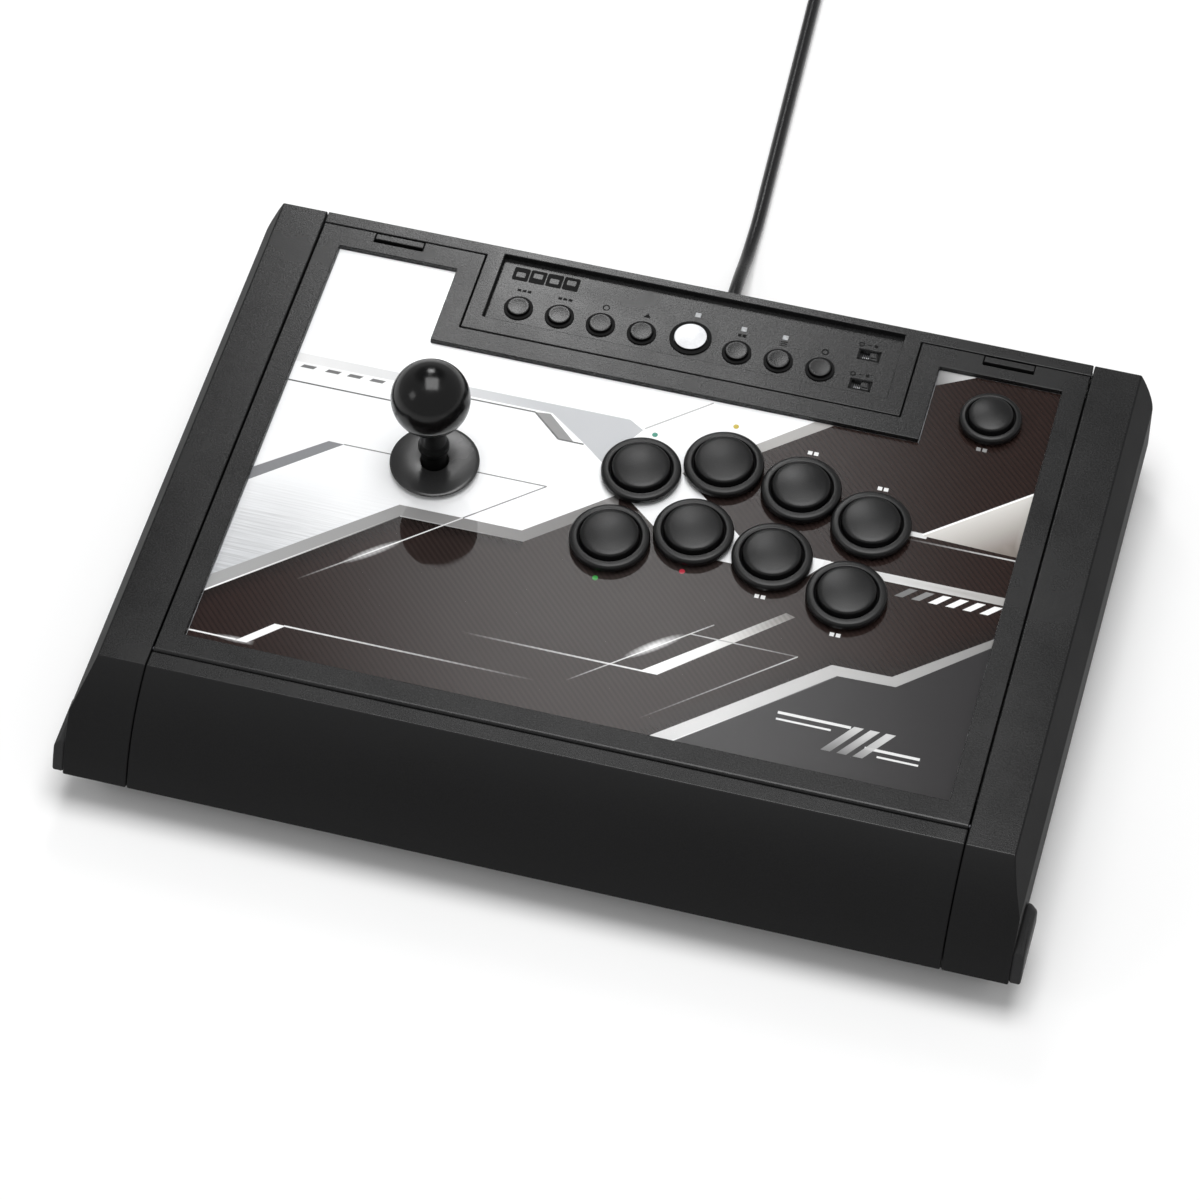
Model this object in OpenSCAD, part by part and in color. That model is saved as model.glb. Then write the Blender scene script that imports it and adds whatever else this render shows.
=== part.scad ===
// Arcade joystick panel: a table-top controller with a ball-top lever, eight 30 mm buttons,
// one 24 mm option button and a recessed strip of small controls, under a lid hinged at its front.
// Origin at the middle of the footprint, on the surface it stands on. +Z up, the player sits at -Y.

/* [Case] */
// Height of the top face above the table
top_z = 60; // [56:0.5:66]
// Half width of the flat top face
top_half_w = 201.6; // [196:0.2:206]
// Half width of the side walls
wall_half_w = 209; // [207:0.5:212]
// How far below the top face the side chamfer ends
chamfer_drop = 14.5; // [10:0.5:20]
// Half depth of the case
half_depth = 152; // [148:0.5:156]
// Height of the lower edge of the skirt
skirt_z = 20; // [18:0.5:22]
// Wall thickness of the mouldings
wall = 2.5; // [2:0.1:2.8]
// Radius of the convex front face
front_r = 70; // [68:0.5:74]
// Plan radius of the two rear corners
corner_r = 7; // [4:0.5:9]

/* [Lid] */
// Half width of the lid opening
lid_half_w = 180; // [178:0.5:182]
// Front edge of the lid opening
lid_front = -106.2; // [-107:0.1:-105.5]
// Rear edge of the lid opening
lid_rear = 145.7; // [144:0.1:146]
// Half width of the notch that clears the control strip
notch_half_w = 102.4; // [101:0.2:106]
// Front edge of that notch
notch_front = 101.1; // [99:0.1:103]
// Gap round the lid
lid_gap = 0.5; // [0.4:0.1:0.8]
// Thickness of the lid frame
lid_t = 6; // [5.5:0.1:6.5]
// Half width of the window over the artwork
art_half_w = 169; // [166:0.5:171]
// Front edge of that window
art_front = -94; // [-96:0.5:-92]
// Rear edge of that window
art_rear = 133.8; // [131:0.2:135]
// Half width of the window's notch
art_notch_half_w = 113; // [111:0.5:116]
// Front edge of the window's notch
art_notch_front = 90.8; // [89:0.2:93]

/* [Buttons] */
// Radius of a 30 mm button's bezel
bezel_r = 17.85; // [17:0.05:18.2]
// Radius of a 30 mm button's plunger
plunger_r = 12.9; // [12:0.1:13.2]
// Height of the plunger's crown above the clear cover
plunger_h = 6.4; // [5:0.1:7.5]
// Travel of the large buttons
press = 2.6; // [1.5:0.1:3]
// Radius of the option button's bezel
option_bezel_r = 14; // [13.4:0.1:14.5]
// Radius of the option button's plunger
option_plunger_r = 9.9; // [9:0.1:10.2]

/* [Lever] */
// Radius of the ball top
ball_r = 17.5; // [15:0.5:18]
// Height of the ball's centre above the top face
ball_rise = 44.7; // [40:0.1:50]
// Radius of the dust washer
dust_r = 20; // [18:0.5:22]
// Depth of the tilt centre below the top face
pivot_drop = 14; // [13:0.5:15]
// Radius of the sleeve over the shaft
sleeve_r = 5.7; // [5.2:0.1:5.8]

/* [Cord] */
// Diameter of the USB cord
cord_d = 6.2; // [5:0.1:6.4]
// Radius of the middle turn of the stored coil
coil_mid_r = 36; // [35:0.5:37]

/* [Hidden] */
$fn = 64;
eps = 0.01;
far = 500;

// Case: levels and planes that several pieces share
front_centre_y = -half_depth + sqrt(front_r * front_r - pow(skirt_z + 4.3, 2));
front_centre_z = -4.3;
side_gap = 0.25;
floor_z = 4;
floor_top = floor_z + wall;
tray_half_w = wall_half_w - 6;
tray_front = -half_depth + 11;
tray_rear = half_depth - 4;
tray_top = 32;
lip_z = top_z - 10;
island_half_w = notch_half_w - lid_gap;
island_front = notch_front + lid_gap;

// Lid: the frame holds the clear cover, the artwork under it and a steel plate
lid_under = top_z - lid_t;
cover_top = top_z - 0.4;
cover_t = 2;
art_t = 0.3;
plate_t = 1.6;
art_top = cover_top - cover_t;
plate_top = art_top - art_t;
plate_under = plate_top - plate_t;
plate_half_w = lid_half_w - 3.5;
plate_front = -98;
plate_rear = 138;
frame_half_w = lid_half_w - lid_gap;
frame_front = lid_front + lid_gap;
frame_rear = lid_rear - lid_gap;
edge_r = 2;
hinge_y = frame_front + edge_r;
hinge_z = top_z - edge_r;
pin_r = 1.25;
pin_fit = 0.05;
pin_inner_x = 166;
pin_outer_x = 192;

// Large buttons: [x, y] of each centre, near row then far row
button_spots = [
  [-5.1, 2.5], [29.6, 15], [66.1, 10.5], [102.3, -1.3],
  [-1.4, 42.2], [33.2, 54.6], [69.6, 49.7], [103.8, 38.5]
];
option_spot = [141.6, 109.7];
hole_r = 15.05;
option_hole_r = 12.05;
bezel_h = 3.1;
cup_floor_z = 40;
switch_top = 36.2;

// Control strip in the rear cover
strip_half_w = 94;
strip_front = 110;
strip_rear = 148;
strip_floor = top_z - 3;
plate_strip_t = 2;
small_pitch = 19.3;
small_first = 22.2;
small_y = 120.7;
small_xs = [
  -small_first - 3 * small_pitch, -small_first - 2 * small_pitch, -small_first - small_pitch,
  -small_first, small_first, small_first + small_pitch, small_first + 2 * small_pitch
];
home_y = 123.5;
small_r = 5.1;
home_r = 7.4;
small_gap = 0.3;
ring_w = 1.3;
home_ring_w = 1.9;
slide_spots = [[80.4, 134.3], [80.4, 116.8]];
led_spots = [[0, 137.5], [small_first, 134.7], [small_first + small_pitch, 134.7]];
board_top = 50.6;
board_t = 1.6;

// Latches in the lid's rear edge
latch_x = 142.9;
latch_half_w = 11.4;
latch_front = 141.7;
latch_t = 3.2;
latch_leg_t = 2.2;
latch_room = 1.9;
latch_ear = 1.5;
latch_ear_t = 1.7;
latch_ear_z = [55.5, 57.5];

// Lever
stick = [-91.2, 24];
pivot_z = top_z - pivot_drop;
ball_z = top_z + ball_rise;
housing_half = 31;
housing_under = 34;
cavity_r = 14.4;
ring_r = 13;
ring_inner_r = 10.2;
ring_half_t = 3;
pivot_ball_r = 8.5;
trunnion_r = 1.6;
shaft_r = 4;
actuator_r = 4.8;
clip_r = 5.2;
clip_top = 14.6;
switch_from = 9.8;
gate_z = [17.1, 19.8];
gate_half = 25;
gate_open = 10.4;

// Cord: where it leaves the boot, then its route to the coil, and the tail to the plug
cord_r = cord_d / 2;
gland = [4, 148, 13];
boot_end = 180;
coil_layers = 2;
coil_columns = 6;
coil_half_w = coil_columns * cord_r;
coil_h = coil_layers * cord_d;
coil_outer_turn = coil_mid_r + coil_half_w - cord_r;
coil_centre = [-8.8 - coil_outer_turn, 456];
cord_route = [
  [4, 180, 13], [4, 190, 13], [3.5, 202, 10.4], [3, 216, 6.2], [2.5, 230, 3.9], [2, 246, 3.2],
  [1, 264, 3.2], [0, 282, 3.2], [-1, 300, 3.2], [-2, 318, 3.2], [-3, 336, 3.2],
  [-4, 354, 3.2], [-5, 372, 3.2], [-6, 390, 3.2], [-7, 408, 3.2], [-8, 424, 3.2],
  [-8.7, 440, 3.2], [-8.8, 456, 3.2]
];
plug_tail = [
  [-60, 507.5, 9.4], [-72, 507.5, 9.3], [-84, 507.2, 7.6], [-96, 506.2, 5.2], [-108, 504.6, 4],
  [-120, 503, 4]
];

// ---- shapes that repeat ----

module box(low, high) {
  translate(low) cube(high - low);
}

module rod_x(r, x0, x1, y, z) {
  translate([x0, y, z]) rotate([0, 90, 0]) cylinder(r = r, h = x1 - x0);
}

module rod_y(r, y0, y1, x, z) {
  translate([x, y0, z]) rotate([-90, 0, 0]) cylinder(r = r, h = y1 - y0);
}

module post(r, z0, z1, at) {
  translate([at[0], at[1], z0]) cylinder(r = r, h = z1 - z0);
}

module both_sides() {
  children();
  mirror([1, 0, 0]) children();
}

// The case as a solid block, shrunk by inset on every outer face, down to z0
module case_block(inset, z0) {
  flat = top_half_w - inset * 0.62;
  side = wall_half_w - inset;
  drop = top_z - chamfer_drop - inset * 0.3;
  intersection() {
    union() {
      box([-far, front_centre_y, z0], [far, half_depth - inset, top_z - inset]);
      intersection() {
        rod_x(front_r - inset, -far, far, front_centre_y, front_centre_z, $fn = 180);
        box([-far, -far, z0], [far, front_centre_y + eps, top_z - inset]);
      }
    }
    rotate([90, 0, 0]) translate([0, 0, -far]) linear_extrude(2 * far)
      polygon([
        [-flat, top_z - inset], [-side, drop], [-side, z0], [side, z0], [side, drop],
        [flat, top_z - inset]
      ]);
    plan_block(wall_half_w - inset, half_depth - inset, corner_r - inset * 0.5);
  }
}

// Plan outline with its two rear corners rounded
module plan_block(half_w, rear, r) {
  box([-half_w, -far, -far], [half_w, rear - r, far]);
  box([-half_w + r, -far, -far], [half_w - r, rear, far]);
  both_sides() post(r, -far, far, [half_w - r, rear - r]);
}

module case_shell() {
  difference() {
    case_block(0, skirt_z);
    case_block(wall, skirt_z - 1);
  }
}

// A plate with the notch for the control strip in its rear edge
module notched_plate(half_w, front, rear, notch_half, notch_y, z0, z1) {
  difference() {
    box([-half_w, front, z0], [half_w, rear, z1]);
    box([-notch_half, notch_y, z0 - 1], [notch_half, rear + 1, z1 + 1]);
  }
}

module panel_holes(z0, z1, stick_r) {
  for (p = button_spots) post(hole_r, z0, z1, p);
  post(option_hole_r, z0, z1, option_spot);
  post(stick_r, z0, z1, stick);
}

// ---- case ----

module base_tray() {
  color("#1b1b1d") {
    difference() {
      union() {
        difference() {
          box([-tray_half_w, tray_front, floor_z], [tray_half_w, tray_rear, tray_top]);
          box([-tray_half_w + wall, tray_front + wall, floor_top],
              [tray_half_w - wall, tray_rear - wall, tray_top + 1]);
        }
        tray_flange();
      }
      rod_y(4.6, tray_rear - wall - 1, tray_rear + 1, gland[0], gland[2]);
      for (p = screw_spots()) post(1.6, floor_z - 1, floor_top + 1, p);
    }
    for (p = board_posts()) post(3, floor_top, 14, p);
  }
}

// Closes the slot between the tray and the skirt
module tray_flange() {
  z1 = skirt_z + wall;
  difference() {
    box([-wall_half_w + wall + 0.2, tray_front - 7, skirt_z],
        [wall_half_w - wall - 0.2, half_depth - wall - 0.2, z1]);
    box([-tray_half_w + eps, tray_front + eps, skirt_z - 1],
        [tray_half_w - eps, tray_rear - eps, z1 + 1]);
    both_sides() box([wall_half_w - 9, half_depth - 9, skirt_z - 1], [far, far, z1 + 1]);
  }
}

function screw_spots() = concat(
  [for (s = [-1, 1], y = [-70, 70]) [s * 192, y]],
  [for (s = [-1, 1]) [s * 90, -128]],
  [for (s = [-1, 1]) [s * 97.4, 105.2]]
);

function board_posts() = [for (x = [-50, 50], y = [66, 128]) [x, y]];

module screw_boss(at, z1) {
  difference() {
    post(3.4, floor_top, z1, at);
    post(1.25, floor_top - 1, 30, at);
  }
}

module end_cap() {
  difference() {
    union() {
      intersection() {
        case_shell();
        box([lid_half_w + side_gap, -far, 0], [far, far, far]);
      }
      intersection() {
        case_block(0.5, skirt_z);
        box([lid_half_w + side_gap, -far, lip_z], [lid_half_w + side_gap + wall, far, far]);
      }
      box([lid_half_w - 5, plate_front + 8, lip_z], [lid_half_w + 1, plate_rear, lid_under - 0.3]);
      box([lid_half_w + 1, hinge_y - 5, lip_z + 2], [pin_outer_x + 2, hinge_y + 5, top_z - 1]);
      for (y = [-70, 70]) screw_boss([192, y], top_z - 1);
    }
    rod_x(pin_r, lid_half_w - 1, pin_outer_x, hinge_y, hinge_z);
  }
}

module end_cap_left() {
  color("#2e2e30") mirror([1, 0, 0]) end_cap();
}

module end_cap_right() {
  color("#2e2e30") end_cap();
}

module front_cover() {
  half = lid_half_w - side_gap;
  color("#232324") {
    intersection() {
      case_shell();
      box([-half, -far, 0], [half, lid_front, far]);
    }
    box([-half, lid_front - wall, lip_z], [half, lid_front, top_z - 1]);
    both_sides() intersection() {
      screw_boss([90, -128], top_z);
      case_block(1, 0);
    }
  }
}

module rear_cover() {
  half = lid_half_w - side_gap;
  color("#2c2c2e") difference() {
    union() {
      intersection() {
        case_shell();
        union() {
          box([-half, lid_rear, 0], [half, far, far]);
          box([-half, half_depth - wall - 1, 0], [half, far, far]);
        }
      }
      intersection() {
        box([-island_half_w, island_front, strip_floor], [island_half_w, half_depth, top_z]);
        case_block(0, 0);
      }
      box([-half, lid_rear, lip_z], [half, lid_rear + wall, top_z - 1]);
      island_wall();
      both_sides() screw_boss([97.4, 105.2], strip_floor + 1);
    }
    box([-strip_half_w, strip_front, strip_floor - 1], [strip_half_w, strip_rear, top_z + 1]);
    box([-strip_half_w - 2, strip_front - 1.2, lip_z - 1],
        [strip_half_w + 2, half_depth - wall, strip_floor]);
    both_sides() box([latch_x - 9.5, lid_rear - 1, lip_z - 1],
                     [latch_x + 9.5, lid_rear + wall + 1, lip_z + 4]);
  }
}

// Wall under the edge of the island that the lid's notch goes round
module island_wall() {
  difference() {
    box([-island_half_w, island_front, lip_z], [island_half_w, lid_rear + 1, strip_floor + 1]);
    box([-island_half_w + wall, island_front + wall, lip_z - 1],
        [island_half_w - wall, far, top_z + 1]);
  }
}

module control_plate() {
  under = strip_floor - plate_strip_t;
  color("#303032") difference() {
    union() {
      box([-strip_half_w - 1.8, strip_front - 1, under],
          [strip_half_w + 1.8, half_depth - wall - 0.2, strip_floor]);
      for (x = small_xs) post(small_r + small_gap + ring_w, under, strip_floor + 0.6, [x, small_y]);
      post(home_r + small_gap + home_ring_w, under, strip_floor + 0.6, [0, home_y]);
    }
    for (x = small_xs) post(small_r + small_gap, under - 1, top_z, [x, small_y]);
    post(home_r + small_gap, under - 1, top_z, [0, home_y]);
    for (p = slide_spots)
      box([p[0] - 4.3, p[1] - 2.3, under - 1], [p[0] + 4.3, p[1] + 2.3, top_z]);
    for (p = led_spots)
      box([p[0] - 1.4, p[1] - 1.4, under - 1], [p[0] + 1.4, p[1] + 1.4, top_z]);
  }
}

module ballast_plate() {
  color("#8a8d90") difference() {
    box([-150, -122, floor_top], [150, -20, floor_top + 3]);
    both_sides() post(6, floor_top - 1, floor_top + 4, [90, -128]);
    for (x = [-130, 130], y = [-110, -32]) post(2.2, floor_top - 1, floor_top + 4, [x, y]);
  }
}

module rubber_feet() {
  color("#111112")
    for (x = [-165, 0, 165], y = [-122, 128])
      translate([x, y, 0]) {
        box([-14, -9, 0], [14, 9, floor_z]);
        for (s = [-14, 14]) post(9, 0, floor_z, [s, 0]);
      }
}

module corner_bumpers() {
  color("#161617") both_sides() intersection() {
    hull() for (y = [-160, -122], z = [10, 28]) {
      translate([wall_half_w, y, z]) rotate([0, 90, 0]) cylinder(r = 6, h = 2, $fn = 32);
      translate([wall_half_w, y, z]) rotate([0, 90, 0]) cylinder(r = 3.5, h = 5, $fn = 32);
    }
    box([wall_half_w, -far, skirt_z + 0.5], [far, far, far]);
    union() {
      rod_x(front_r - 0.5, 0, far, front_centre_y, front_centre_z, $fn = 180);
      box([0, front_centre_y - 30, 0], [far, far, 60]);
    }
  }
}

module hinge_pins() {
  color("#b9bcc0") both_sides() rod_x(pin_r, pin_inner_x, pin_outer_x, hinge_y, hinge_z);
}

module main_board() {
  color("#1f5a38") difference() {
    box([-56, 60, 14], [56, 134, 15.6]);
    for (p = board_posts()) post(1.5, 13, 17, p);
  }
  color("#202022") {
    box([-14, 88, 15.6], [4, 106, 17.4]);
    box([18, 92, 15.6], [32, 102, 17.2]);
  }
  color("#d8d6cc") {
    for (x = [-40, -22, -4, 14, 32]) box([x, 64, 15.6], [x + 12, 70, 22]);
    box([-3, 122, 15.6], [11, 131, 21]);
  }
}

module control_board() {
  color("#1f5a38")
    box([-90, strip_front + 2, board_top - board_t], [90, half_depth - wall - 3.5, board_top]);
  color("#3a3a3c") {
    for (x = small_xs) box([x - 3, small_y - 3, board_top], [x + 3, small_y + 3, board_top + 1]);
    box([-3, home_y - 3, board_top], [3, home_y + 3, board_top + 1]);
    for (p = slide_spots)
      box([p[0] - 5, p[1] - 3.2, board_top], [p[0] + 5, p[1] + 3.2, strip_floor - 2.5]);
  }
}

module status_leds() {
  color("#e6ecf2")
    for (p = led_spots)
      box([p[0] - 1.3, p[1] - 1.3, board_top], [p[0] + 1.3, p[1] + 1.3, strip_floor + 0.2]);
}

module case_screws() {
  color("#4a4a4c")
    for (p = screw_spots()) {
      post(3, floor_z - 1.6, floor_z, p);
      post(1.25, floor_z, 28, p);
    }
}

// ---- controls in the strip ----

module small_cap(r, at) {
  under = strip_floor - plate_strip_t;
  translate([at[0], at[1], 0]) rotate_extrude()
    polygon([
      [0, board_top + 2.1], [2, board_top + 2.1], [2, under - 1.6], [r + 1, under - 1.6],
      [r + 1, under - 0.4], [r, under - 0.4], [r, top_z - 1.5], [r - 0.5, top_z - 1], [0, top_z - 1]
    ]);
}

module small_button(i) {
  color("#3b3b3d") small_cap(small_r, [small_xs[i - 1], small_y]);
}

module home_button() {
  color("#e9ebee") small_cap(home_r, [0, home_y]);
}

module slide_knob(i) {
  p = slide_spots[i - 1];
  color("#4b4b4e") {
    box([p[0] + 0.2, p[1] - 1.9, strip_floor - 2.2], [p[0] + 4, p[1] + 1.9, strip_floor - 0.2]);
    box([p[0] + 0.8, p[1] - 1.4, strip_floor - 0.2], [p[0] + 3.6, p[1] + 1.4, strip_floor + 0.9]);
  }
}

// ---- lid ----

module lid_frame() {
  color("#2d2d2f") difference() {
    union() {
      notched_plate(frame_half_w, hinge_y, frame_rear, notch_half_w, notch_front,
                    lid_under, top_z);
      rod_x(edge_r, -frame_half_w, frame_half_w, hinge_y, hinge_z);
      box([-frame_half_w, frame_front, lid_under], [frame_half_w, hinge_y + eps, hinge_z]);
    }
    notched_plate(art_half_w, art_front, art_rear, art_notch_half_w, art_notch_front,
                  lid_under - 1, top_z + 1);
    notched_plate(plate_half_w + 0.2, plate_front - 0.2, plate_rear + 0.2, notch_half_w + 2.8,
                  notch_front - 2.8, lid_under - 1, plate_top);
    both_sides() {
      rod_x(pin_r + pin_fit, pin_inner_x - 1, lid_half_w + 1, hinge_y, hinge_z);
      box([latch_x - latch_half_w - 0.3, latch_front - latch_room, lid_under - 1],
          [latch_x + latch_half_w + 0.3, far, top_z + 1]);
      box([latch_x - latch_half_w - latch_ear - 0.3, latch_front - latch_room, latch_ear_z[0] - 0.3],
          [latch_x + latch_half_w + latch_ear + 0.3, latch_front + latch_ear_t + 0.3,
           latch_ear_z[1] + 0.3]);
    }
  }
}

module clear_cover() {
  color("#dfe6ea", 0.35) difference() {
    notched_plate(art_half_w - 0.1, art_front + 0.1, art_rear - 0.1, art_notch_half_w + 0.1,
                  art_notch_front - 0.1, art_top, cover_top);
    panel_holes(art_top - 1, top_z, 12);
  }
}

module art_sheet() {
  color("#6a6663") difference() {
    notched_plate(art_half_w - 0.1, art_front + 0.1, art_rear - 0.1, art_notch_half_w + 0.1,
                  art_notch_front - 0.1, plate_top, art_top);
    panel_holes(plate_top - 1, art_top + 1, 12);
  }
}

module panel_plate() {
  color("#9a9da1") difference() {
    notched_plate(plate_half_w, plate_front, plate_rear, notch_half_w + 3, notch_front - 3,
                  plate_under, plate_top);
    panel_holes(plate_under - 1, plate_top + 1, 17.5);
    for (p = lid_screw_spots()) post(1.6, plate_under - 1, plate_top + 1, p);
    for (p = stick_screw_spots()) post(2.1, plate_under - 1, plate_top + 1, p);
  }
}

function lid_screw_spots() = concat(
  [for (s = [-1, 1], y = [-85, 25, 134]) [s * 173, y]],
  [for (s = [-1, 1]) [s * 109, 96]]
);

function stick_screw_spots() = [for (sx = [-1, 1], sy = [-1, 1]) stick + [sx * 40, sy * 18]];

module lid_screws() {
  color("#6d7074") {
    for (p = lid_screw_spots()) {
      post(2.8, plate_under - 1.6, plate_under, p);
      post(1.6, plate_under, plate_top, p);
    }
    for (p = stick_screw_spots()) {
      post(3.5, plate_under - plate_t - 2.2, plate_under - plate_t, p);
      post(2.1, plate_under - plate_t, plate_top, p);
    }
  }
}

// Bezel ring above the cover, cup through the panel, snap lugs under the steel plate
module housing(outer_r, inner_r, body_r) {
  z = cover_top;
  edge = 1.4;
  rotate_extrude()
    polygon(concat(
      [[inner_r, z + bezel_h - 0.6], [inner_r + 0.6, z + bezel_h]],
      [for (a = [90:-15:0]) [outer_r - edge + edge * cos(a), z + bezel_h - edge + edge * sin(a)]],
      [[outer_r, z], [body_r, z], [body_r, cup_floor_z], [3.8, cup_floor_z],
       [3.8, cup_floor_z + 2], [inner_r, cup_floor_z + 2]]
    ));
  for (a = [0, 180]) rotate([0, 0, a]) difference() {
    box([body_r - 0.5, -4, plate_under - 6], [body_r + 1, 4, plate_under - 0.2]);
    post(body_r - 0.2, 0, far, [0, 0]);
  }
}

module button_housings() {
  color("#151516")
    for (p = button_spots) translate([p[0], p[1], 0]) housing(bezel_r, plunger_r + 0.35, 14.9);
}

module option_housing() {
  color("#151516") translate([option_spot[0], option_spot[1], 0])
    housing(option_bezel_r, option_plunger_r + 0.35, 11.9);
}

// Crowned cap over a hollow skirt, with a stem that reaches the switch
module plunger(r, at) {
  top = cover_top + plunger_h;
  crown = 1.2;
  edge = 1;
  shoulder = top - crown;
  translate([at[0], at[1], 0]) rotate_extrude()
    polygon(concat(
      [[0, top]],
      [for (k = [1:5]) let (q = (r - edge) * k / 5) [q, top - crown * pow(q / r, 2)]],
      [for (a = [60:-30:0]) [r - edge + edge * cos(a), shoulder - edge + edge * sin(a)]],
      [[r, cup_floor_z + 6], [r - 1.8, cup_floor_z + 6], [r - 1.8, shoulder - 2.6],
       [3.2, shoulder - 2.6], [3.2, switch_top + press + 0.4], [0, switch_top + press + 0.4]]
    ));
}

module button(i) {
  color("#19191a") plunger(plunger_r, button_spots[i - 1]);
}

module option_button() {
  color("#19191a") plunger(option_plunger_r, option_spot);
}

// One snap-in microswitch under each large button
module button_switches() {
  for (p = concat(button_spots, [option_spot])) {
    color("#1d1d1e") {
      box([p[0] - 10, p[1] - 3.2, 26], [p[0] + 10, p[1] + 3.2, switch_top - 1]);
      box([p[0] - 1.5, p[1] - 1.5, switch_top - 1], [p[0] + 1.5, p[1] + 1.5, switch_top]);
      for (s = [-1, 1])
        box([p[0] + s * 9 - 1, p[1] - 3.2, switch_top - 1],
            [p[0] + s * 9 + 1, p[1] + 3.2, cup_floor_z]);
    }
    color("#c9b27a") for (s = [-7, 7])
      box([p[0] + s - 0.4, p[1] - 2.4, 19], [p[0] + s + 0.4, p[1] + 2.4, 26]);
  }
}

// Thumb plate, a leg behind it with a nose that faces the window, and an ear in a groove each side
module latch(side) {
  color("#2f2f31") translate([side * latch_x, latch_front, 0]) {
    box([-latch_half_w, 0, lid_under], [latch_half_w, latch_t, top_z]);
    box([-9, 0, lip_z - 2], [9, latch_leg_t, lid_under]);
    box([-9, latch_leg_t, lip_z], [9, latch_t + 0.15, lip_z + 3]);
    for (x = [-latch_half_w - latch_ear, latch_half_w])
      box([x, 0, latch_ear_z[0]], [x + latch_ear, latch_ear_t, latch_ear_z[1]]);
  }
}

module latch_left() {
  latch(-1);
}

module latch_right() {
  latch(1);
}

// ---- lever ----

module stick_mount_plate() {
  color("#a7aaad") translate([stick[0], stick[1], plate_under - plate_t]) difference() {
    box([-47.5, -26, 0], [47.5, 26, plate_t]);
    post(11, -1, plate_t + 1, [0, 0]);
    for (sx = [-40, 40], sy = [-18, 18]) post(2.1, -1, plate_t + 1, [sx, sy]);
  }
}

module stick_housing() {
  top = plate_under - plate_t;
  color("#17171a") translate([stick[0], stick[1], 0]) difference() {
    box([-housing_half, -housing_half + 5, housing_under], [housing_half, housing_half - 5, top]);
    post(cavity_r, housing_under + 3, top - 2, [0, 0]);
    post(11, housing_under - 1, top + 1, [0, 0]);
    rod_x(trunnion_r + pin_fit, -19, 19, 0, pivot_z);
  }
}

// Carries the lever fore and aft; the lever rocks sideways in it
module pivot_ring() {
  color("#d9d7cf") translate([stick[0], stick[1], pivot_z]) {
    difference() {
      post(ring_r, -ring_half_t, ring_half_t, [0, 0]);
      post(ring_inner_r, -ring_half_t - 1, ring_half_t + 1, [0, 0]);
      rod_y(trunnion_r + pin_fit, -ring_r - 1, ring_r + 1, 0, 0);
    }
    for (s = [0, 180]) rotate([0, 0, s]) rod_x(trunnion_r, ring_r - 0.4, 18, 0, 0);
  }
}

module stick_shaft() {
  color("#c4c6c9") translate([stick[0], stick[1], 0]) {
    post(shaft_r, 12.5, ball_z - 4, [0, 0]);
    translate([0, 0, pivot_z]) {
      sphere(pivot_ball_r);
      rod_y(trunnion_r, -12.6, 12.6, 0, 0);
    }
  }
}

module shaft_sleeve() {
  bulge_z = top_z + 12;
  color("#121213") translate([stick[0], stick[1], 0]) rotate_extrude()
    polygon([
      [shaft_r, pivot_z + 8.6], [sleeve_r, pivot_z + 8.6], [sleeve_r, bulge_z - 2],
      [sleeve_r + 1.25, bulge_z - 1], [sleeve_r + 1.25, bulge_z + 1], [sleeve_r, bulge_z + 2],
      [sleeve_r, ball_z - 16.9], [shaft_r, ball_z - 16.9]
    ]);
}

module ball_top() {
  color("#0e0e0f") translate([stick[0], stick[1], ball_z]) difference() {
    sphere(ball_r, $fn = 96);
    post(far, -far, -16.9, [0, 0]);
    post(shaft_r, -far, -4, [0, 0]);
  }
}

module actuator() {
  color("#202023") translate([stick[0], stick[1], 0]) difference() {
    union() {
      post(actuator_r, clip_top + 0.4, 30, [0, 0]);
      post(clip_r, clip_top - 1, clip_top, [0, 0]);
    }
    post(shaft_r, 0, far, [0, 0]);
  }
}

// Compression spring between the tilt centre and the actuator
module stick_spring() {
  turns = 4;
  steps = 14;
  sides = 8;
  wire_r = 0.6;
  coil_r = 6.2;
  z0 = 30.7;
  z1 = 36.4;
  count = turns * steps;
  rings = [
    for (i = [0:count]) let (a = i * 360 / steps)
      [for (j = [0:sides - 1]) let (b = j * 360 / sides)
        [(coil_r + wire_r * cos(b)) * cos(a), (coil_r + wire_r * cos(b)) * sin(a),
         z0 + (z1 - z0) * i / count + wire_r * sin(b)]]
  ];
  color("#9fa3a8") translate([stick[0], stick[1], 0]) swept(rings, sides, true);
}

module stick_switches() {
  color("#2b2b2e") translate([stick[0], stick[1], 0]) for (a = [0, 90, 180, 270])
    rotate([0, 0, a]) {
      box([switch_from, -9.4, 20.6], [switch_from + 6.4, 9.4, 30.6]);
      box([switch_from + 1, -9.4, 30.6], [switch_from + 5.4, 9.4, 31]);
    }
  color("#1f5a38") translate([stick[0], stick[1], 0]) difference() {
    box([-26, -26, 31], [26, 26, 32.6]);
    post(11, 30, 34, [0, 0]);
  }
}

// Square gate that limits the tilt to the same angle each way
module stick_gate() {
  color("#d5d3cb") translate([stick[0], stick[1], 0]) {
    difference() {
      box([-gate_half, -gate_half, gate_z[0]], [gate_half, gate_half, gate_z[1]]);
      box([-gate_open, -gate_open, gate_z[0] - 1], [gate_open, gate_open, gate_z[1] + 1]);
    }
    for (sx = [-1, 1], sy = [-1, 1]) {
      post(2.6, gate_z[1], 31, [sx * 21, sy * 21]);
      post(2.6, 32.6, housing_under, [sx * 21, sy * 21]);
    }
  }
}

module lower_washer() {
  color("#26262a") difference() {
    post(13.5, plate_under + 0.3, plate_top - 0.3, stick);
    post(8.9, 0, far, stick);
  }
}

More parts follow.
